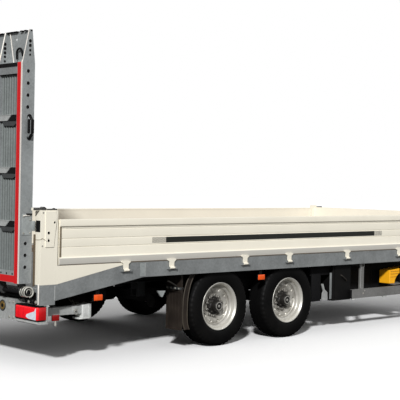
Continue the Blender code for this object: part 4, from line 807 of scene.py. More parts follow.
def wireRing(axis, centre, radius, level, wire, steps=28, roundSteps=6):
    # a wire bent to a circle that stands square to one axis
    a, b = circle(centre, radius, steps).T
    flat = np.full(steps, level)
    order = {"x": (flat, a, b), "y": (a, flat, b)}[axis]
    return tubeShape(np.stack(order, -1), wire, roundSteps, True)


# The slot of each finish; the others are galvanised
slotFinishes = {
    "cream_paint": ("cream", "panel", "creamShade"), "black_steel": ("matt", "black", "latchSteel"),
    "red_lens": ("redLens", "redSide", "redDark", "clearLens"), "orange_lens": ("orangeLens",),
    "flap_rubber": ("flap", "flapEdge", "gapShadeBrown"), "chock_yellow": ("chockShade",),
}
slotOf = {finish: slot for slot, keys in slotFinishes.items() for finish in keys}
fixedPieces = ("ramp_spring", "ramp_knuckle")


def bodyOf(name):
    # ramps and dropsides carry the pieces that bear their name, the chassis all others
    carrier = name.split("_")[0]
    if carrier in ("ramp", "dropside") and not name.startswith(fixedPieces):
        return carrier + "_" + name[-1]
    return "chassis"


def onTrailer(name, shapes, finish, replaced=(), **settings):
    # one piece, moved from the rear axle to its place
    makePiece(name, [moved(shape, (axleX, 0, 0)) for shape in shapes], finishes[finish], bodyOf(name),
              slotOf.get(finish, "galvanised"), replaced, **settings)


def bothSides(name, shapes, finish, replaced=(), **settings):
    # the left-hand piece as drawn and its mirror on the right
    for tag, side in sides:
        shown = shapes if side > 0 else [mirroredShape(shape) for shape in shapes]
        onTrailer(f"{name}_{tag}", shown, finish, [label.format(tag) for label in replaced], **settings)


# Dropsides

panelSettings = {
    "x": (-1.99, 4.18), "height": 0.388, "face": 1.278, "thick": 0.04, "hemInset": 0.008,
    "lowBand": 0.056, "topBand": 0.058,
    "slope": 0.008, "recess": 0.014, "grooves": (0.148, 0.222, 0.305), "groove": (0.0075, 0.004),
    "straps": (-1.265, -0.713, 0.268, 0.925, 1.875, 2.817, 3.735),
}
strapSettings = {
    "head": 0.106, "shank": 0.056, "headHeight": 0.02, "lap": 0.008, "face": 1.287, "thick": 0.0115,
    "pivot": (1.29, 0.805), "pin": 0.0065, "pinEnd": 0.0185, "barrel": 0.0118,
}


def panelSection(low, high):
    # rolled section: hem, recessed field with three grooves, top band; every fold has its own radius
    look = panelSettings
    outer, field = look["face"], look["face"] - look["recess"]
    points = [(outer - look["hemInset"], low, 0.004), (outer, low + look["lowBand"], 0.0035),
              (field, low + look["lowBand"] + look["slope"], 0.003)]
    half, depth = look["groove"][0] / 2, look["groove"][1]
    for rise in look["grooves"]:
        points += [(field, low + rise - half, 0.0015), (field - depth, low + rise - half * 0.4, 0.0012),
                   (field - depth, low + rise + half * 0.4, 0.0012), (field, low + rise + half, 0.0015)]
    top = high - look["topBand"]
    inner = outer - look["thick"]
    points += [(field, top - look["slope"], 0.003), (outer, top, 0.0035), (outer, high, 0.005),
               (inner, high, 0.005), (inner, high - 0.016, 0.001), (inner + 0.0035, high - 0.018, 0.001),
               (inner + 0.0035, low + 0.018, 0.001), (inner, low + 0.016, 0.001), (inner, low, 0.003)]
    return roundedOutline([point[:2] for point in points], [point[2] for point in points], 5)


def dropsides():
    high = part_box("dropside_R")[1].z
    look, strap = panelSettings, strapSettings
    low = high - look["height"]
    x0, x1 = look["x"]
    panel = [barShape(panelSection(low, high), [x0, x0 + 0.002, x1 - 0.002, x1], "x")]
    capY = (look["face"] - look["thick"] + 0.003, look["face"] - look["recess"] - 0.005)
    panel += [block((x0 - 0.0004, x0 + 0.012), capY, (low + 0.004, high - 0.004), 0.001),
              block((x1 - 0.012, x1 + 0.0004), capY, (low + 0.004, high - 0.004), 0.001)]
    bothSides("dropside_panel", panel, "panel", ["dropside_{}"], bevel=0.0012, sharp=40)
    field = look["face"] - look["recess"]
    # painted shade: a dark strip at the rear end of the recessed field, where the recess throws its shadow
    gap = block((x0 + 0.0012, x0 + 0.022), (field - 0.006, field + 0.0015), (low + 0.06, high - 0.061), 0.001)
    bothSides("dropside_end_gap", [gap], "creamShade")
    straps, pins = [], []
    head, shank = strap["head"] / 2, strap["shank"] / 2
    neck, foot = low - strap["headHeight"], strap["pivot"][1]
    inner, reach = strap["face"] - strap["thick"], shank + strap["pinEnd"]
    for x in look["straps"]:
        outline = [(x - head, low + strap["lap"]), (x - head, low), (x - shank, neck), (x - shank, foot),
                   (x + shank, foot), (x + shank, neck), (x + head, low), (x + head, low + strap["lap"])]
        straps += [plate(outline, "y", inner, strap["face"], 0.004, 5),
                   roundBar("x", strap["pivot"], strap["barrel"], x - shank, x + shank, 28),
                   block((x - head + 0.002, x + head - 0.002), (look["face"] - 0.014, strap["face"] - 0.001),
                         (low + 0.0005, low + strap["lap"] - 0.0005), 0.001)]
        pins += [roundBar("x", strap["pivot"], strap["pin"], x - reach, x + reach, 20)]
    bothSides("dropside_straps", straps, "cream", bevel=0.0012, sharp=38)
    bothSides("dropside_pins", pins, "nut", bevel=0.001, sharp=38)


dropsides()
print("dropsides hung")


# Ramps: added to the CAD ramp, which stays in view

rampSettings = {
    "outer": 1.2, "bays": ((0.8382, 1.128), (0.4762, 0.793)), "rear": -2.355, "front": -2.228,
    "sheet": -2.308, "bevel": 2.574, "tip": 2.855, "tipRear": -2.292, "tipFront": -2.258,
    "members": (1.227, 1.677, 2.119), "memberFace": -2.343, "ribs": (0.8, 2.486), "ribPitch": 0.0363,
    "ribHeight": 0.011, "holes": ((0.867, 0.0155), (0.967, 0.0155), (1.066, 0.0155), (2.206, 0.0155),
                                   (2.305, 0.0155), (2.405, 0.0155), (2.506, 0.0155), (2.643, 0.0105),
                                   (2.68, 0.012), (2.72, 0.015), (2.758, 0.015)),
    "handle": (-2.277, 1.952, 2.127, 0.034),
    "memberLow": 0.0255, "memberHigh": 0.0245, "bandZ": (2.486, 2.549),
    "topBand": ((0.4315, 1.1295), (2.549, 2.578)),
    "foot": ((0.4315, 1.129), (0.733, 0.832)), "dots": (0.508, 0.085, 8, 0.806), "treads": (0.86, 2.5, 0.135),
    "edgeY": (1.1945, 0.4745), "finY": (0.8375, 0.8425), "holeX": -2.2945, "tipHoleX": -2.28,
    "lock": ((-2.332, -2.238), (1.136, 1.313)),
    "lockBolts": ((-2.318, 1.152), (-2.252, 1.152), (-2.318, 1.29), (-2.252, 1.262)),
    "finHoles": ((2.755, 0.0145), (2.719, 0.0145), (2.682, 0.0145), (2.648, 0.012), (2.609, 0.0105)),
    "tipCaps": ((0.432, 0.79), (0.848, 1.006), (1.05, 1.085), (1.11, 1.14)),
}


def rampFace(low, high, z):
    # above the bevel both faces lean: from the low key's x to the high key's x
    look = rampSettings
    share = (z - look["bevel"]) / (look["tip"] - look["bevel"])
    return look[low] + (look[high] - look[low]) * share


def ribSection(y0, y1):
    # narrow ribs on a flat sheet: height times the sixth power of a cosine of y over the pitch
    look = rampSettings
    count = max(2, round((y1 - y0) / look["ribPitch"]))
    y = np.linspace(y0 + 0.001, y1 - 0.001, count * 14 + 1)
    wave = np.cos(np.pi * count * (y - y0) / (y1 - y0) + np.pi / 2) ** 6
    front = np.stack([look["sheet"] - 0.003 - look["ribHeight"] * wave, y], -1)
    back = np.array([[look["sheet"] + 0.001, y[-1]], [look["sheet"] + 0.001, y[0]]])
    return np.vstack([front, back])


def rampSheetAndMembers():
    look = rampSettings
    ribs = [barShape(ribSection(*bay), list(look["ribs"]), "z") for bay in look["bays"]]
    bothSides("ramp_ribs", ribs, "ribs", sharp=50)
    pale, black, gusset = [], [], []
    face = look["memberFace"]
    for z in look["members"]:
        low, high = z - look["memberLow"], z + look["memberHigh"]
        (near, far), inner = look["bays"]
        slant = [(near, low), (0.972, low), (1.032, high), (near, high)]
        pale += [plate(slant, "x", face - 0.0022, face, 0.002),
                 plate(rectangle(inner, (low, high)), "x", face - 0.0022, face, 0.002),
                 block((face - 0.006, face), (near, 1.03), (high - 0.006, high), 0.002),
                 block((face - 0.006, face), inner, (high - 0.006, high), 0.002)]
        # painted shade: black plates in each member's notch by the outer beam, where the cavity lies in shade
        black += [plate([(0.978, low), (far - 0.0005, low), (far - 0.0005, high), (1.038, high)], "x",
                        face - 0.0008, face + 0.004, 0.002)]
        # gussets under the members' outer ends, in near-black zinc that is partly painted shade below the
        # members
        gusset += [plate([(0.885, low), (0.905, low - 0.04), (1.06, low - 0.044), (1.118, low - 0.014),
                          (1.127, low)], "x", face + 0.006, face + 0.014, 0.008)]
    bands = [plate(rectangle(bay, look["bandZ"]), "x", face - 0.004, face, 0.002) for bay in look["bays"]]
    top = [plate(rectangle(*look["topBand"]), "x", look["rear"] + 0.0006, face, 0.004)]
    bothSides("ramp_bands", bands, "zinc", bevel=0.0008)
    bothSides("ramp_members", pale, "zincLight", bevel=0.0008)
    bothSides("ramp_black", black + top, "matt", bevel=0.0008)
    bothSides("ramp_gussets", gusset, "zincDark", bevel=0.001)
    foot = [plate(rectangle(*look["foot"]), "x", look["rear"] + 0.0012, face, 0.003)]
    bothSides("ramp_foot", foot, "zincRamp", bevel=0.001)
    # black dots in the foot band: painted shade in its holes
    rear, (start, pitch, count, level) = look["rear"], look["dots"]
    dots = [roundBar("x", (start + pitch * number, level), 0.0095, rear + 0.0009, rear + 0.004)
            for number in range(count)]
    bothSides("ramp_foot_dots", dots, "matt")


def rampTip():
    look = rampSettings
    # fin on the middle beam: follows the lean of the rear face down to the tip plate
    zs = np.linspace(look["bevel"] + 0.004, look["tip"] - 0.003, 12)
    rear = rampFace("rear", "tipRear", zs)
    front = rampFace("front", "tipFront", zs) - 0.008
    outline = np.vstack([np.stack([rear, zs], -1), np.stack([front, zs], -1)[::-1]])
    fins = [plate(outline, "y", *look["finY"])]
    # pale beads along the tip's slanted edges: painted highlight where the edges catch the light
    edge = [tubeShape(np.stack([rear + 0.0045, np.full(len(zs), 0.84), zs], -1), 0.0055, 10)]
    foot = np.linspace(look["bevel"] + 0.01, look["tip"] - 0.012, 10)
    share = (foot - foot[0]) / (foot[-1] - foot[0])
    behind = rampFace("front", "tipFront", foot) - 0.0135
    edge.append(tubeShape(np.stack([behind, 0.907 - 0.022 * share, foot], -1), 0.0045, 10))
    # the outer beam's slanted edge and the same on the inner beam
    for y in look["edgeY"]:
        edge.append(tubeShape(np.stack([rear + 0.005, np.full(len(zs), y), zs], -1), 0.0052, 10))
    bothSides("ramp_tip_fins", fins, "zincRamp")
    bothSides("ramp_tip_edges", edge, "paleEdge", sharp=60)
    # the fin's holes as black discs: painted shade inside them
    dark = [roundBar("y", (-2.2935, z), radius, 0.8415, 0.8431)
            for z, radius in look["finHoles"]]
    # arch loop, closed bead along the top and the caps at the corners
    angle = np.linspace(0, np.pi, 17)
    arch = np.stack([np.full(17, -2.272), 1.0305 + 0.04 * np.cos(angle), 2.672 + 0.036 * np.sin(angle)], -1)
    loop = np.vstack([(-2.266, 1.075, 2.64), arch, (-2.266, 0.986, 2.618)])
    dark.append(tubeShape(loop, 0.0088, 12))
    for cap in look["tipCaps"]:
        dark.append(block((look["tipRear"] + 0.004, look["tipFront"] - 0.002), cap, (2.846, 2.8549), 0.003))
    dark.append(block((-2.277, look["tipFront"] + 0.0005), (1.174, 1.2008), (2.838, 2.8549), 0.003))
    bothSides("ramp_tip_dark", dark, "matt", sharp=50)
    bothSides("ramp_tip_pad", [block((-2.2535, -2.2455), (1.082, 1.12), (2.6, 2.625), 0.003)], "zincLight")


def rampSideFittings():
    look = rampSettings
    outer = look["outer"]
    holes, rings = [], []
    # holes in the outer beam as black discs, painted shade inside them, each with a zinc rim
    for z, radius in look["holes"]:
        x = look["holeX"] if z < look["bevel"] else look["tipHoleX"]
        holes.append(roundBar("y", (x, z), radius, outer - 0.003, outer + 0.0003, 28))
        rings.append(wireRing("y", (x, z), radius + 0.0006, outer + 0.0002, 0.0009))
    bothSides("ramp_holes", holes, "matt")
    bothSides("ramp_hole_rims", rings, "zincLight", sharp=60)
    # grab handle: a thick dark sleeve over the CAD bar and an eye at its head
    x, low, high, proud = look["handle"]
    path = smoothLine([(x, outer - 0.002, low), (x, outer + proud * 0.75, low + 0.012),
                       (x, outer + proud, low + 0.04), (x, outer + proud, high - 0.04),
                       (x, outer + proud * 0.75, high - 0.012), (x, outer - 0.002, high)], 6)
    handle = [tubeShape(path, 0.0125, 16),
              # the wide block also stands for the bar's shadow on the face: painted shade
              block((x - 0.034, x + 0.026), (outer + proud - 0.012, outer + proud + 0.006),
                    (low + 0.034, high - 0.022), 0.006, 4)]
    for z in (low, high):
        handle.append(roundBar("y", (x, z), 0.021, outer - 0.001, outer + 0.006, 28))
    bothSides("ramp_handle", handle, "black", sharp=45)
    # lock plate with its bolts, the bracket over it and the tongue toward the post
    lock = [plate(rectangle(*look["lock"]), "y", outer - 0.001, outer + 0.005, 0.006),
            block((-2.24, -2.1985), (1.1905, outer + 0.004), (1.169, 1.254), 0.003)]
    bothSides("ramp_lock_plate", lock, "lockZinc", bevel=0.001)
    bothSides("ramp_lock_bolts", bolts("y", look["lockBolts"], 0.0075, outer + 0.005), "nut")
    bracket = [block((-2.325, -2.262), (outer + 0.005, outer + 0.014), (1.296, 1.306), 0.003)]
    bothSides("ramp_lock_bracket", bracket, "paleEdge")
    catch = [block((-2.296, -2.24), (outer + 0.005, outer + 0.022), (1.306, 1.318), 0.004)]
    bothSides("ramp_lock_catch", catch, "black")


springSettings = {
    "centre": (-2.25, 0.655), "turns": 3, "radius": 0.0405, "wire": 0.0064, "pitch": 0.03, "outer": 1.212,
    "innerTurns": 1.5, "innerRadius": 0.021, "innerPitch": 0.014, "innerOuter": 1.209,
}


def springCoil(turns, radius, pitch, outer, rise, steps):
    # helix moved inward by the pitch a turn; it starts above its centre where rise is 1, below it for -1
    centre = springSettings["centre"]
    angle = np.linspace(0, 2 * np.pi * turns, steps + 1)
    return np.stack([centre[0] + radius * np.sin(angle), outer - pitch * angle / (2 * np.pi),
                     centre[1] + rise * radius * np.cos(angle)], -1)


def rampSprings():
    look = springSettings
    centre = look["centre"]
    coil = springCoil(look["turns"], look["radius"], look["pitch"], look["outer"], -1, look["turns"] * 40)
    tail = np.linspace(coil[-1], (-2.176, coil[-1][1], coil[-1][2]), 6)[1:]
    bothSides("ramp_spring_coil", [tubeShape(np.vstack([coil, tail]), look["wire"], 14)], "springZinc",
              ["ramp_spring_{}"], sharp=60)
    small = springCoil(look["innerTurns"], look["innerRadius"], look["innerPitch"], look["innerOuter"], 1, 60)
    bothSides("ramp_spring_inner", [tubeShape(small, 0.0034, 12)], "springZinc", sharp=60)
    dark = [roundBar("y", centre, 0.0345, 1.105, 1.188, 32), roundBar("y", centre, 0.012, 1.188, 1.208, 28),
            block((-2.215, -2.15), (1.13, 1.205), (0.552, 0.594), 0.014, 4),
            block((-2.2, -2.15), (1.188, 1.258), (0.548, 0.578), 0.012, 4)]
    bothSides("ramp_knuckle", dark, "black", sharp=50)
    knuckle = hexBolt("x", (1.152, 0.57), 0.014, -2.212, -1) + hexBolt("x", (1.236, 0.57), 0.014, -2.199, -1)
    bothSides("ramp_knuckle_bolts", knuckle, "nut")


def rampTreads():
    # bars across the driving face
    bars = [block((-2.229, -2.2215), (0.5, 1.17), (z, z + 0.014)) for z in np.arange(*rampSettings["treads"])]
    bothSides("ramp_treads", bars, "zinc")


rampSheetAndMembers()
rampTip()
rampSideFittings()
rampTreads()
rampSprings()
print("ramps fitted")


# Rear end: lamps, beam, corner posts

lampSettings = {"x": (-2.206, -2.1125), "y": (0.9225, 1.264), "z": (0.4031, 0.5358)}


def rearLamps():
    look = lampSettings
    (x0, x1), (y0, y1), (z0, z1) = look["x"], look["y"], look["z"]
    bothSides("rear_lamp_housing", [block((x0, x1), (y0, y1), (z0, z1), 0.02, 6)], "black", ["rear_lamp_{}"])
    lens = [block((x0 - 0.003, x1 - 0.004), (y0 + 0.014, y1 + 0.0022), (z0 + 0.009, z1 - 0.007), 0.016, 6)]
    bothSides("rear_lamp_lens", lens, "redLens")
    white = [(1.2505, 0.52), (1.243, 0.52), (1.226, 0.493), (1.168, 0.476), (1.112, 0.458), (1.104, 0.436),
             (1.14, 0.424), (1.215, 0.419), (1.2505, 0.42)]
    clear = plate(white, "x", x0 - 0.0042, x0 + 0.001, 0.004)
    bothSides("rear_lamp_reversing", [clear], "clearLens", bevel=0.0008)
    ribs = [block((x0 - 0.0035, x0), (y, y + 0.0022), (z0 + 0.022, z1 - 0.022), 0.001)
            for y in (0.995, 1.062)]
    bothSides("rear_lamp_divides", ribs, "redDark")
    sideLens = block((-2.19, -2.1165), (1.2655, 1.2668), (0.418, 0.526), 0.0006)
    bothSides("rear_lamp_side", [sideLens], "redSide")
    edge = [block((-2.112, -2.0975), (1.236, 1.2706), (0.3885, 0.546), 0.003),
            block((-2.212, -2.1), (0.96, 1.269), (0.3865, 0.3925), 0.002)]
    bothSides("rear_lamp_edge", edge, "zincLight")


beamSettings = {
    "x": -2.2, "fitting": (0.736, 0.498), "plate": ((-0.26, 0.26), (0.405, 0.515)),
    "screws": ((-0.22, 0.46), (0.22, 0.46)), "boltY": (0.42, 0.5, 0.84, 0.9), "boltZ": (0.408, 0.54),
}


def rearBeamFittings():
    look = beamSettings
    x0, centre = look["x"], look["fitting"]
    brass = roundBar("x", centre, 0.036, x0 - 0.005, x0 + 0.002, 36)
    bothSides("rear_beam_fitting", [brass], "brass", bevel=0.0015)
    rim = wireRing("x", centre, 0.043, x0 - 0.001, 0.0065, 36, 8)
    bothSides("rear_beam_fitting_rim", [rim], "zincDark", sharp=60)
    bothSides("rear_beam_fitting_core", [roundBar("x", centre, 0.017, x0 - 0.0065, x0)], "matt")
    # dark recess between the hinge beam and the rear beam, and the blank number plate board
    onTrailer("rear_shadow_plate", [block((-2.13, -2.105), (-1.16, 1.16), (0.5695, 0.584), 0.002)], "matt")
    board = [plate(rectangle(*look["plate"]), "x", x0 - 0.0035, x0 - 0.0002, 0.008)]
    onTrailer("number_plate_blank", board, "plateWhite", bevel=0.0006)
    screws = [roundBar("x", place, 0.006, x0 - 0.0055, x0 - 0.003, 16) for place in look["screws"]]
    onTrailer("number_plate_screws", screws, "nut", bevel=0.0008)
    heads = bolts("x", [(y, z) for y in look["boltY"] for z in look["boltZ"]], 0.01, x0, -1)
    bothSides("rear_beam_bolts", heads, "nut")


postSettings = {
    "outer": 1.27, "bolts": ((-2.165, 1.325), (-2.17, 1.045)),
    "holes": ((-2.111, 1.154, 0.0125), (-2.111, 1.089, 0.0115), (-2.052, 1.243, 0.0095)),
    "edge": ((-2.0345, 1.3385), (-2.0262, 1.29), (-2.029, 1.22), (-2.04, 1.14), (-2.0535, 1.0325)),
    "foot": ((-2.0545, 1.0325), (-2.1, 1.032), (-2.142, 1.0325)),
}


def cornerPosts():
    look = postSettings
    outer = look["outer"]
    # painted shade: a black block in the pocket, dark lines along the plate's edge, under the pocket and
    # along the foot
    dark = [block((-2.1845, -2.139), (1.1905, 1.2595), (1.1605, 1.2575), 0.001)]
    line = smoothLine([(x, outer + 0.0006, z) for x, z in look["edge"]], 6)
    shade = [tubeShape(line, 0.0024, 8)]
    lowerEdgeShade = smoothLine([(-2.1875, 1.192, 1.094), (-2.1877, 1.24, 1.096), (-2.186, 1.2697, 1.1),
                       (-2.172, 1.2712, 1.108), (-2.15, 1.2712, 1.098), (-2.128, 1.2762, 1.083)], 6)
    shade.append(tubeShape(lowerEdgeShade, 0.0022, 8))
    foot = smoothLine([(x, outer + 0.0004, z) for x, z in look["foot"]], 4)
    shade.append(tubeShape(foot, 0.0012, 8))
    bothSides("corner_post_pocket", dark, "matt")
    bothSides("corner_post_lines", shade, "creamShade", sharp=60)
    # painted shade: a dark brown strip in the gap between the ramp and the post's rear face
    strip = [block((-2.2045, -2.1872), (1.185, 1.197), (0.7, 1.14), 0.003)]
    bothSides("corner_post_seal", strip, "gapShadeBrown")
    # the holes as black discs: painted shade inside them
    holes, rims = [], []
    for x, z, radius in look["holes"]:
        holes.append(roundBar("y", (x, z), radius, outer, outer + 0.0063, 28))
        rims.append(wireRing("y", (x, z), radius + 0.0008, outer + 0.0062, 0.0012))
    bothSides("corner_post_holes", holes, "matt")
    bothSides("corner_post_hole_rims", rims, "cream", sharp=60)
    lever = [block((-2.2545, -2.119), (1.2205, 1.2515), (1.3445, 1.368), 0.005),
             block((-2.245, -2.006), (1.2245, 1.2475), (1.344, 1.3565), 0.004),
             roundBar("y", (-2.15, 1.359), 0.016, 1.214, 1.258, 28),
             roundBar("z", (-2.035, 1.236), 0.011, 1.352, 1.3635, 24)]
    bothSides("corner_post_latch", lever, "latchSteel", sharp=45)
    bothSides("corner_post_bolts", bolts("y", look["bolts"], 0.0065, outer), "nut")


rearLamps()
rearBeamFittings()
cornerPosts()
print("rear end fitted")


# Side rail, markers, guard, box, flap and support leg

railSettings = {"face": 1.27, "end": -2.03, "knee": -1.2, "lowKnee": -1.043, "slope": 0.19, "deck": 0.868,
                "depth": 0.135}
markerSettings = {"x": (-1.557, 0.531), "half": 0.0525, "height": 0.062, "drop": 0.046}


def railLow(x):
    # the rail's lower edge: straight from its end block to its own knee, level after it
    look = railSettings
    run = look["knee"] - look["end"]
    rearZ = look["deck"] - run * look["slope"] - look["depth"]
    share = min(1.0, (x - look["end"]) / (look["lowKnee"] - look["end"]))
    return rearZ + (look["deck"] - look["depth"] - rearZ) * share


def markers():
    look = markerSettings
    for label, x in zip(("rear", "middle"), look["x"]):
        high = railLow(x) - look["drop"]
        low = high - look["height"]
        lens = [block((x - 0.0475, x + 0.0475), (1.25, 1.2688), (low + 0.004, high - 0.004), 0.008, 5)]
        near, far = x - 0.02, x + 0.02
        stay = [(near, high - 0.01), (far, high - 0.01), (far, railLow(far) + 0.004),
                (near, railLow(near) + 0.004)]
        base = [block((x - look["half"], x + look["half"]), (1.242, 1.262), (low, high), 0.008, 4),
                plate(stay, "y", 1.244, 1.25)]
        bothSides(f"marker_lens_{label}", lens, "orangeLens", ["side_marker_" + label + "_{}"])
        bothSides(f"marker_base_{label}", base, "black", bevel=0.0008)


def railFittings():
    face = railSettings["face"]
    # weld beads at the knee and the end block, and a painted shade line in the gap under the dropside's hem
    rows = ((-1.03, 0.0008, 0.7385, 0.862, 0.0032), (-2.032, 0.0006, 0.5825, 0.7025, 0.0034))
    weld = [tubeShape(np.linspace((x, face + proud, low), (x, face + proud, high), 14), wire, 8)
            for x, proud, low, high, wire in rows]
    bothSides("rail_welds", weld, "zincLight", sharp=60)
    # a pale strip on the rail's rear end: painted light on its rear-facing edge
    end = [block((-2.205, -2.192), (1.262, 1.2712), (0.55, 0.724), 0.003)]
    bothSides("rail_end", end, "paleEdge")
    latch = [block((4.335, 4.428), (1.243, 1.272), (1.262, 1.285), 0.004)]
    bothSides("headboard_latch", latch, "zincDark")
    patch = [plate(rectangle((-1.088, -1.022), (0.74, 0.86)), "y", face - 0.002, face + 0.0022, 0.003)]
    bothSides("rail_splice", patch, "lockZinc", bevel=0.0008)
    gap = [block((-1.985, 4.17), (1.26, 1.2702), (0.8722, 0.8776), 0.001)]
    bothSides("rail_seal", gap, "gapShadeBrown")


def underDeckShadeSheets():
    # painted shade: black sheets beside the wheels, an inner wheel arch and a closing sheet hung from the
    # cross-members
    arch = [(-0.46, 0.56), (-0.3, 0.56), (-0.16, 0.6), (0.16, 0.6), (0.3, 0.5), (0.7, 0.5),
            (0.84, 0.6), (1.16, 0.6), (1.3, 0.5), (1.7, 0.5), (1.7, 0.792), (-0.46, 0.792)]
    sheets = [plate(arch, "y", 0.94, 0.944, 0.03, 6),
              plate(rectangle((2.07, 4.04), (0.4, 0.742)), "y", 0.934, 0.938, 0.03, 6)]
    for x in (2.3, 2.75, 3.2, 3.65):
        sheets.append(block((x - 0.012, x + 0.012), (0.9375, 0.9425), (0.415, 0.735), 0.002))
    bothSides("side_liners", sheets, "matt")


guardSettings = {
    "posts": (2.225, 3.1, 4.03), "straps": (2.06, 2.62, 3.18, 3.74, 4.08), "ends": (2.0095, 4.119),
    "chockX": 3.0, "chockRibs": ((0.54, 2.935), (0.575, 2.982), (0.604, 3.055)),
}


def guardFittings():
    look = guardSettings
    caps, lights = [], []
    # posts' strips and heads and the strap plates in the palest zinc: painted light on parts in the shade
    # under the deck
    for x in look["posts"]:
        lights += [block((x - 0.0255, x + 0.0255), (1.2145, 1.2235), (0.449, 0.69), 0.004),
                   block((x - 0.034, x + 0.034), (1.2, 1.224), (0.69, 0.728), 0.004)]
        for centre, size, face in (((x - 0.012, 0.396), 0.009, 1.25), ((x + 0.012, 0.424), 0.007, 1.25),
                                   ((x, 0.71), 0.008, 1.2235)):
            caps += hexBolt("y", centre, size, face, 1)
    for x in look["straps"]:
        lights.append(block((x - 0.035, x + 0.035), (1.226, 1.246), (0.33, 0.3475), 0.004))
    bothSides("guard_posts", lights, "paintedLightZinc")
    bothSides("guard_bolts", caps, "nut")
    ends = [block((x, x + 0.005), (1.221, 1.249), (0.349, 0.444)) for x in look["ends"]]
    bothSides("guard_caps", ends, "matt")
    # chock: a wide U handle strap over it and ribs on its flanks, the ribs in a darker chock paint as painted
    # shade
    bow = ((1.01, 0.47), (1.009, 0.6), (1.014, 0.652), (1.03, 0.6605), (1.15, 0.6605), (1.166, 0.652),
           (1.171, 0.6), (1.17, 0.47))
    strap = smoothLine([(look["chockX"], y, z) for y, z in bow], 6)
    bothSides("chock_strap", [tubeShape(strap, 0.0045, 10)], "black", sharp=60)
    ribs = [block((2.825, end), (1.1645, 1.169), (z, z + 0.008), 0.0022)
            for z, end in look["chockRibs"]]
    bothSides("chock_ribs", ribs, "chockShade")


boxSettings = {"face": -1.2, "door": ((1.765, 2.02), (0.36, 0.715))}


def boxFittings():
    # door on the outer face, its handle, the box's end, and the lever plate behind it
    y = boxSettings["face"]
    door = [plate(rectangle(*boxSettings["door"]), "y", y - 0.005, y, 0.014)]
    onTrailer("box_door", door, "black", bevel=0.0015)
    bow = ((1.862, 0.004, 0.614), (1.868, 0.02, 0.606), (1.905, 0.026, 0.58), (1.945, 0.02, 0.552),
           (1.952, 0.004, 0.545))
    handle = smoothLine([(x, y - proud, z) for x, proud, z in bow], 6)
    onTrailer("box_latch", [tubeShape(handle, 0.007, 12)], "darkNut", sharp=60)
    rim = [block((1.735, 1.7405), (-1.2, -0.83), (0.345, 0.735), 0.002)]
    onTrailer("box_end", rim, "black")
    onTrailer("box_strip", [block((1.684, 1.716), (y - 0.004, y + 0.004), (0.358, 0.645), 0.003)], "zinc")
    onTrailer("valve_panel", [block((1.405, 1.545), (-1.19, -1.165), (0.345, 0.64), 0.006),
                              block((1.405, 1.72), (-1.165, -1.13), (0.62, 0.745), 0.004)], "matt")
    lever = [(1.54, 0.532), (1.566, 0.532), (1.59, 0.47), (1.636, 0.436), (1.641, 0.352), (1.552, 0.352),
             (1.558, 0.425), (1.574, 0.452)]
    onTrailer("valve_lever", [plate(lever, "y", y - 0.01, y + 0.004, 0.006)], "zincLight")


legSettings = {"y": 1.12, "z": 0.465, "pinX": -1.73, "flapBoltY": (1.02, 1.07, 1.13, 1.18),
               "flapRibY": (1.03, 1.075, 1.12, 1.165), "cheek": 0.058}


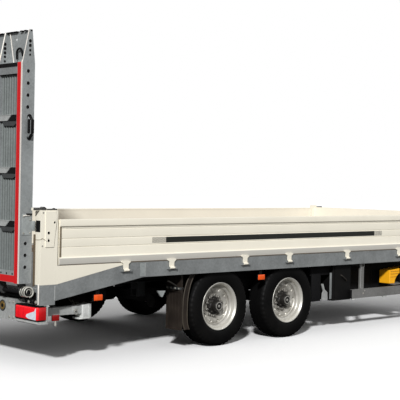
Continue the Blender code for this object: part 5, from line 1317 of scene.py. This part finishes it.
def legAndFlap():
    # the leg's foot, sleeves, pin and reflector, then the flap's lever, stay, cheek, clamp and ribs
    look = legSettings
    y, z, pinX = look["y"], look["z"], look["pinX"]
    rim = [block((-1.58, -1.5722), (y - 0.061, y + 0.061), (z - 0.0775, z + 0.0475), 0.003)]
    foot = [block((-1.655, -1.573), (y - 0.05, y + 0.046), (z - 0.07, z + 0.042), 0.005, 3),
            block((-1.692, -1.573), (y - 0.052, y + 0.05), (z - 0.084, z - 0.07), 0.003)]
    # the foot's plates in the palest zinc: painted light on the rear-facing foot
    bothSides("leg_head", foot, "paintedLightZinc")
    bothSides("leg_foot", rim, "paintedLightZinc")
    sleeve = [block((-1.76, -1.7), (y - 0.0375, y + 0.0375), (z - 0.0375, z + 0.0375), 0.004),
              block((-2.095, -2.03), (y - 0.0385, y + 0.0385), (z - 0.0385, z + 0.0385), 0.004)]
    bothSides("leg_sleeves", sleeve, "zincLight")
    pin = [roundBar("y", (pinX, z), 0.009, y - 0.055, y + 0.055, 20)]
    ringAngle = np.linspace(0, 2 * np.pi, 25)[:-1]
    ring = np.stack([pinX + 0.016 * np.cos(ringAngle), np.full(24, y + 0.05),
                     z - 0.018 + 0.022 * np.sin(ringAngle)], -1)
    pin.append(tubeShape(ring, 0.0022, 8, True))
    bothSides("leg_pins", pin, "nut", sharp=50)
    bothSides("leg_reflector", [block((-1.985, -1.905), (1.158, 1.172), (0.386, 0.438), 0.006, 4)], "redDark")
    bothSides("leg_tap", [roundBar("z", (-1.945, 1.165), 0.012, 0.342, 0.386, 20)], "nut", bevel=0.001)
    lever = smoothLine([(-0.692, 1.205, 0.674), (-0.65, 1.212, 0.655), (-0.6, 1.214, 0.628),
                        (-0.576, 1.208, 0.611)], 6)
    bothSides("flap_lever", [tubeShape(lever, 0.0075, 12)], "darkNut", sharp=60)
    stay = [(-0.722, 0.573), (-0.622, 0.569), (-0.656, 0.512), (-0.676, 0.512)]
    bothSides("flap_stay", [plate(stay, "y", 1.085, 1.1, 0.004)], "lockZinc")
    edge = ((-0.392, 0.742), (-0.452, 0.64), (-0.486, 0.52), (-0.496, 0.387), (-0.49, 0.262), (-0.466, 0.196))
    outer = smoothLine([(x, 1.21, z) for x, z in edge], 8)
    inner = outer + (look["cheek"], 0, 0)
    ring = np.vstack([outer[:, [0, 2]], inner[::-1][:, [0, 2]]])
    bothSides("mudguard_cheek", [plate(ring, "y", 1.198, 1.208)], "flap", sharp=40)
    beads = [tubeShape(outer, 0.0062, 10), tubeShape(inner, 0.005, 10)]
    bothSides("mudguard_beads", beads, "flapEdge", sharp=60)
    clamps = [block((-0.526, -0.49), (0.996, 1.209), (0.578, 0.602), 0.003)]
    bothSides("flap_clamps", clamps, "zincDark")
    heads = bolts("x", [(y, 0.59) for y in look["flapBoltY"]], 0.008, -0.526, -1)
    bothSides("flap_bolts", heads, "nut")
    ribs = [block((-0.5165, -0.4995), (y, y + 0.01), (0.2, 0.56), 0.002) for y in look["flapRibY"]]
    bothSides("flap_ribs", ribs, "flap")


frontSettings = {"flange": 5.8853, "boltY": (-0.058, 0.058), "boltZ": (-0.04, 0.04), "jackX": 5.3,
                 "collars": ((0.268, 0.3), (0.83, 0.8585)), "gripZ": 0.6197, "headboardZ": (0.93, 1.08, 1.23)}


def frontFittings():
    # bolts of the headboard's posts and the eye's flange, the jack's collars and the crank's grip
    look = frontSettings
    eye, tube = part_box("towing_eye"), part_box("jack_tube")
    middle = (eye[0].z + eye[1].z) / 2
    places = [(y, middle + z) for y in look["boltY"] for z in look["boltZ"]]
    onTrailer("eye_bolts", bolts("x", places, 0.011, look["flange"]), "nut")
    near, x = tube[0].y, look["jackX"]
    collars = [block((x - 0.047, x + 0.047), (near - 0.0045, near + 0.0895), level, 0.004)
               for level in look["collars"]]
    onTrailer("jack_collars", collars, "zinc")
    grip = roundBar("y", (x, look["gripZ"]), 0.015, tube[1].y - 0.084, tube[1].y - 0.004)
    onTrailer("jack_grip", [grip], "black", bevel=0.003)
    heads = bolts("y", [(4.227, z) for z in look["headboardZ"]], 0.01, 1.2645)
    bothSides("headboard_bolts", heads, "nut")


markers()
frontFittings()
railFittings()
underDeckShadeSheets()
guardFittings()
boxFittings()
legAndFlap()
print("side fittings on")


# Camera, light and floor

cameraSettings = {
    "place": (-9.365527, -8.764607, 1.636125), "yaw": 0.758943399, "pitch": -0.019340711,
    "roll": 0.021490044, "lens": 97.464, "sensor": 36.0,
}


def placeCamera():
    # the view direction from yaw and pitch, then the picture turned by the roll
    look = cameraSettings
    yaw, pitch, roll = look["yaw"], look["pitch"], look["roll"]
    forward = Vector((math.sin(yaw) * math.cos(pitch), math.cos(yaw) * math.cos(pitch), math.sin(pitch)))
    right = Vector((math.cos(yaw), -math.sin(yaw), 0))
    up = right.cross(forward)
    turnedRight = right * math.cos(roll) + up * math.sin(roll)
    turnedUp = up * math.cos(roll) - right * math.sin(roll)
    data = bpy.data.cameras.new("photoView")
    data.lens = look["lens"]
    data.sensor_width = look["sensor"]
    data.clip_end = 400
    camera = bpy.data.objects.new("photoView", data)
    bpy.context.scene.collection.objects.link(camera)
    matrix = Matrix((turnedRight, turnedUp, -forward)).transposed().to_4x4()
    matrix.translation = Vector(look["place"])
    camera.matrix_world = matrix
    bpy.context.scene.camera = camera


lightSettings = {
    "sky": 0.46,
    "suns": [
        {"name": "keySun", "from": (-0.78, -0.66, 0.58), "strength": 3.55, "angle": 4},
        {"name": "fillSun", "from": (-0.1, -0.9, 0.2), "strength": 0.22, "angle": 50},
        {"name": "backSun", "from": (0.3, 0.9, 0.8), "strength": 0.22, "angle": 40},
    ],
    "floorSize": 60.0,
    "floorBounce": (0.05, 0.05, 0.05, 1),
}


def lightStage():
    look = lightSettings
    world = bpy.data.worlds.new("studio")
    bpy.context.scene.world = world
    world.use_nodes = True
    tree = world.node_tree
    background = tree.nodes["Background"]
    rays = tree.nodes.new("ShaderNodeLightPath")
    seen = calc("MAXIMUM", rays.outputs["Is Camera Ray"], rays.outputs["Is Transmission Ray"])
    background.inputs["Color"].default_value = (1, 1, 1, 1)
    feed(calc("MULTIPLY_ADD", seen, 1.0 - look["sky"], look["sky"]), background.inputs["Strength"])
    for sun in look["suns"]:
        data = bpy.data.lights.new(sun["name"], "SUN")
        data.energy = sun["strength"]
        data.angle = math.radians(sun["angle"])
        lamp = bpy.data.objects.new(sun["name"], data)
        lamp.rotation_mode = "QUATERNION"
        lamp.rotation_quaternion = Vector(sun["from"]).to_track_quat("Z", "Y")
        bpy.context.scene.collection.objects.link(lamp)
    size = look["floorSize"]
    corners = np.array([(-size, -size, 0), (size, -size, 0), (size, size, 0), (-size, size, 0)], float)
    mesh = bpy.data.meshes.new("floor")
    mesh.from_pydata(corners.tolist(), [], [(0, 1, 2, 3)])
    floor = bpy.data.objects.new("floor", mesh)
    bpy.context.scene.collection.objects.link(floor)
    material, floorTree, shader = newMaterial("floorPale")
    floorRays = floorTree.nodes.new("ShaderNodeLightPath")
    colour = mixed(floorRays.outputs["Is Camera Ray"], look["floorBounce"], (1, 1, 1, 1))
    dress(shader, colour, 1.0, 0.0, 0.0, 0.0)
    mesh.materials.append(material)


placeCamera()
lightStage()
bpy.context.scene.view_settings.view_transform = "Standard"
print("camera and light set")
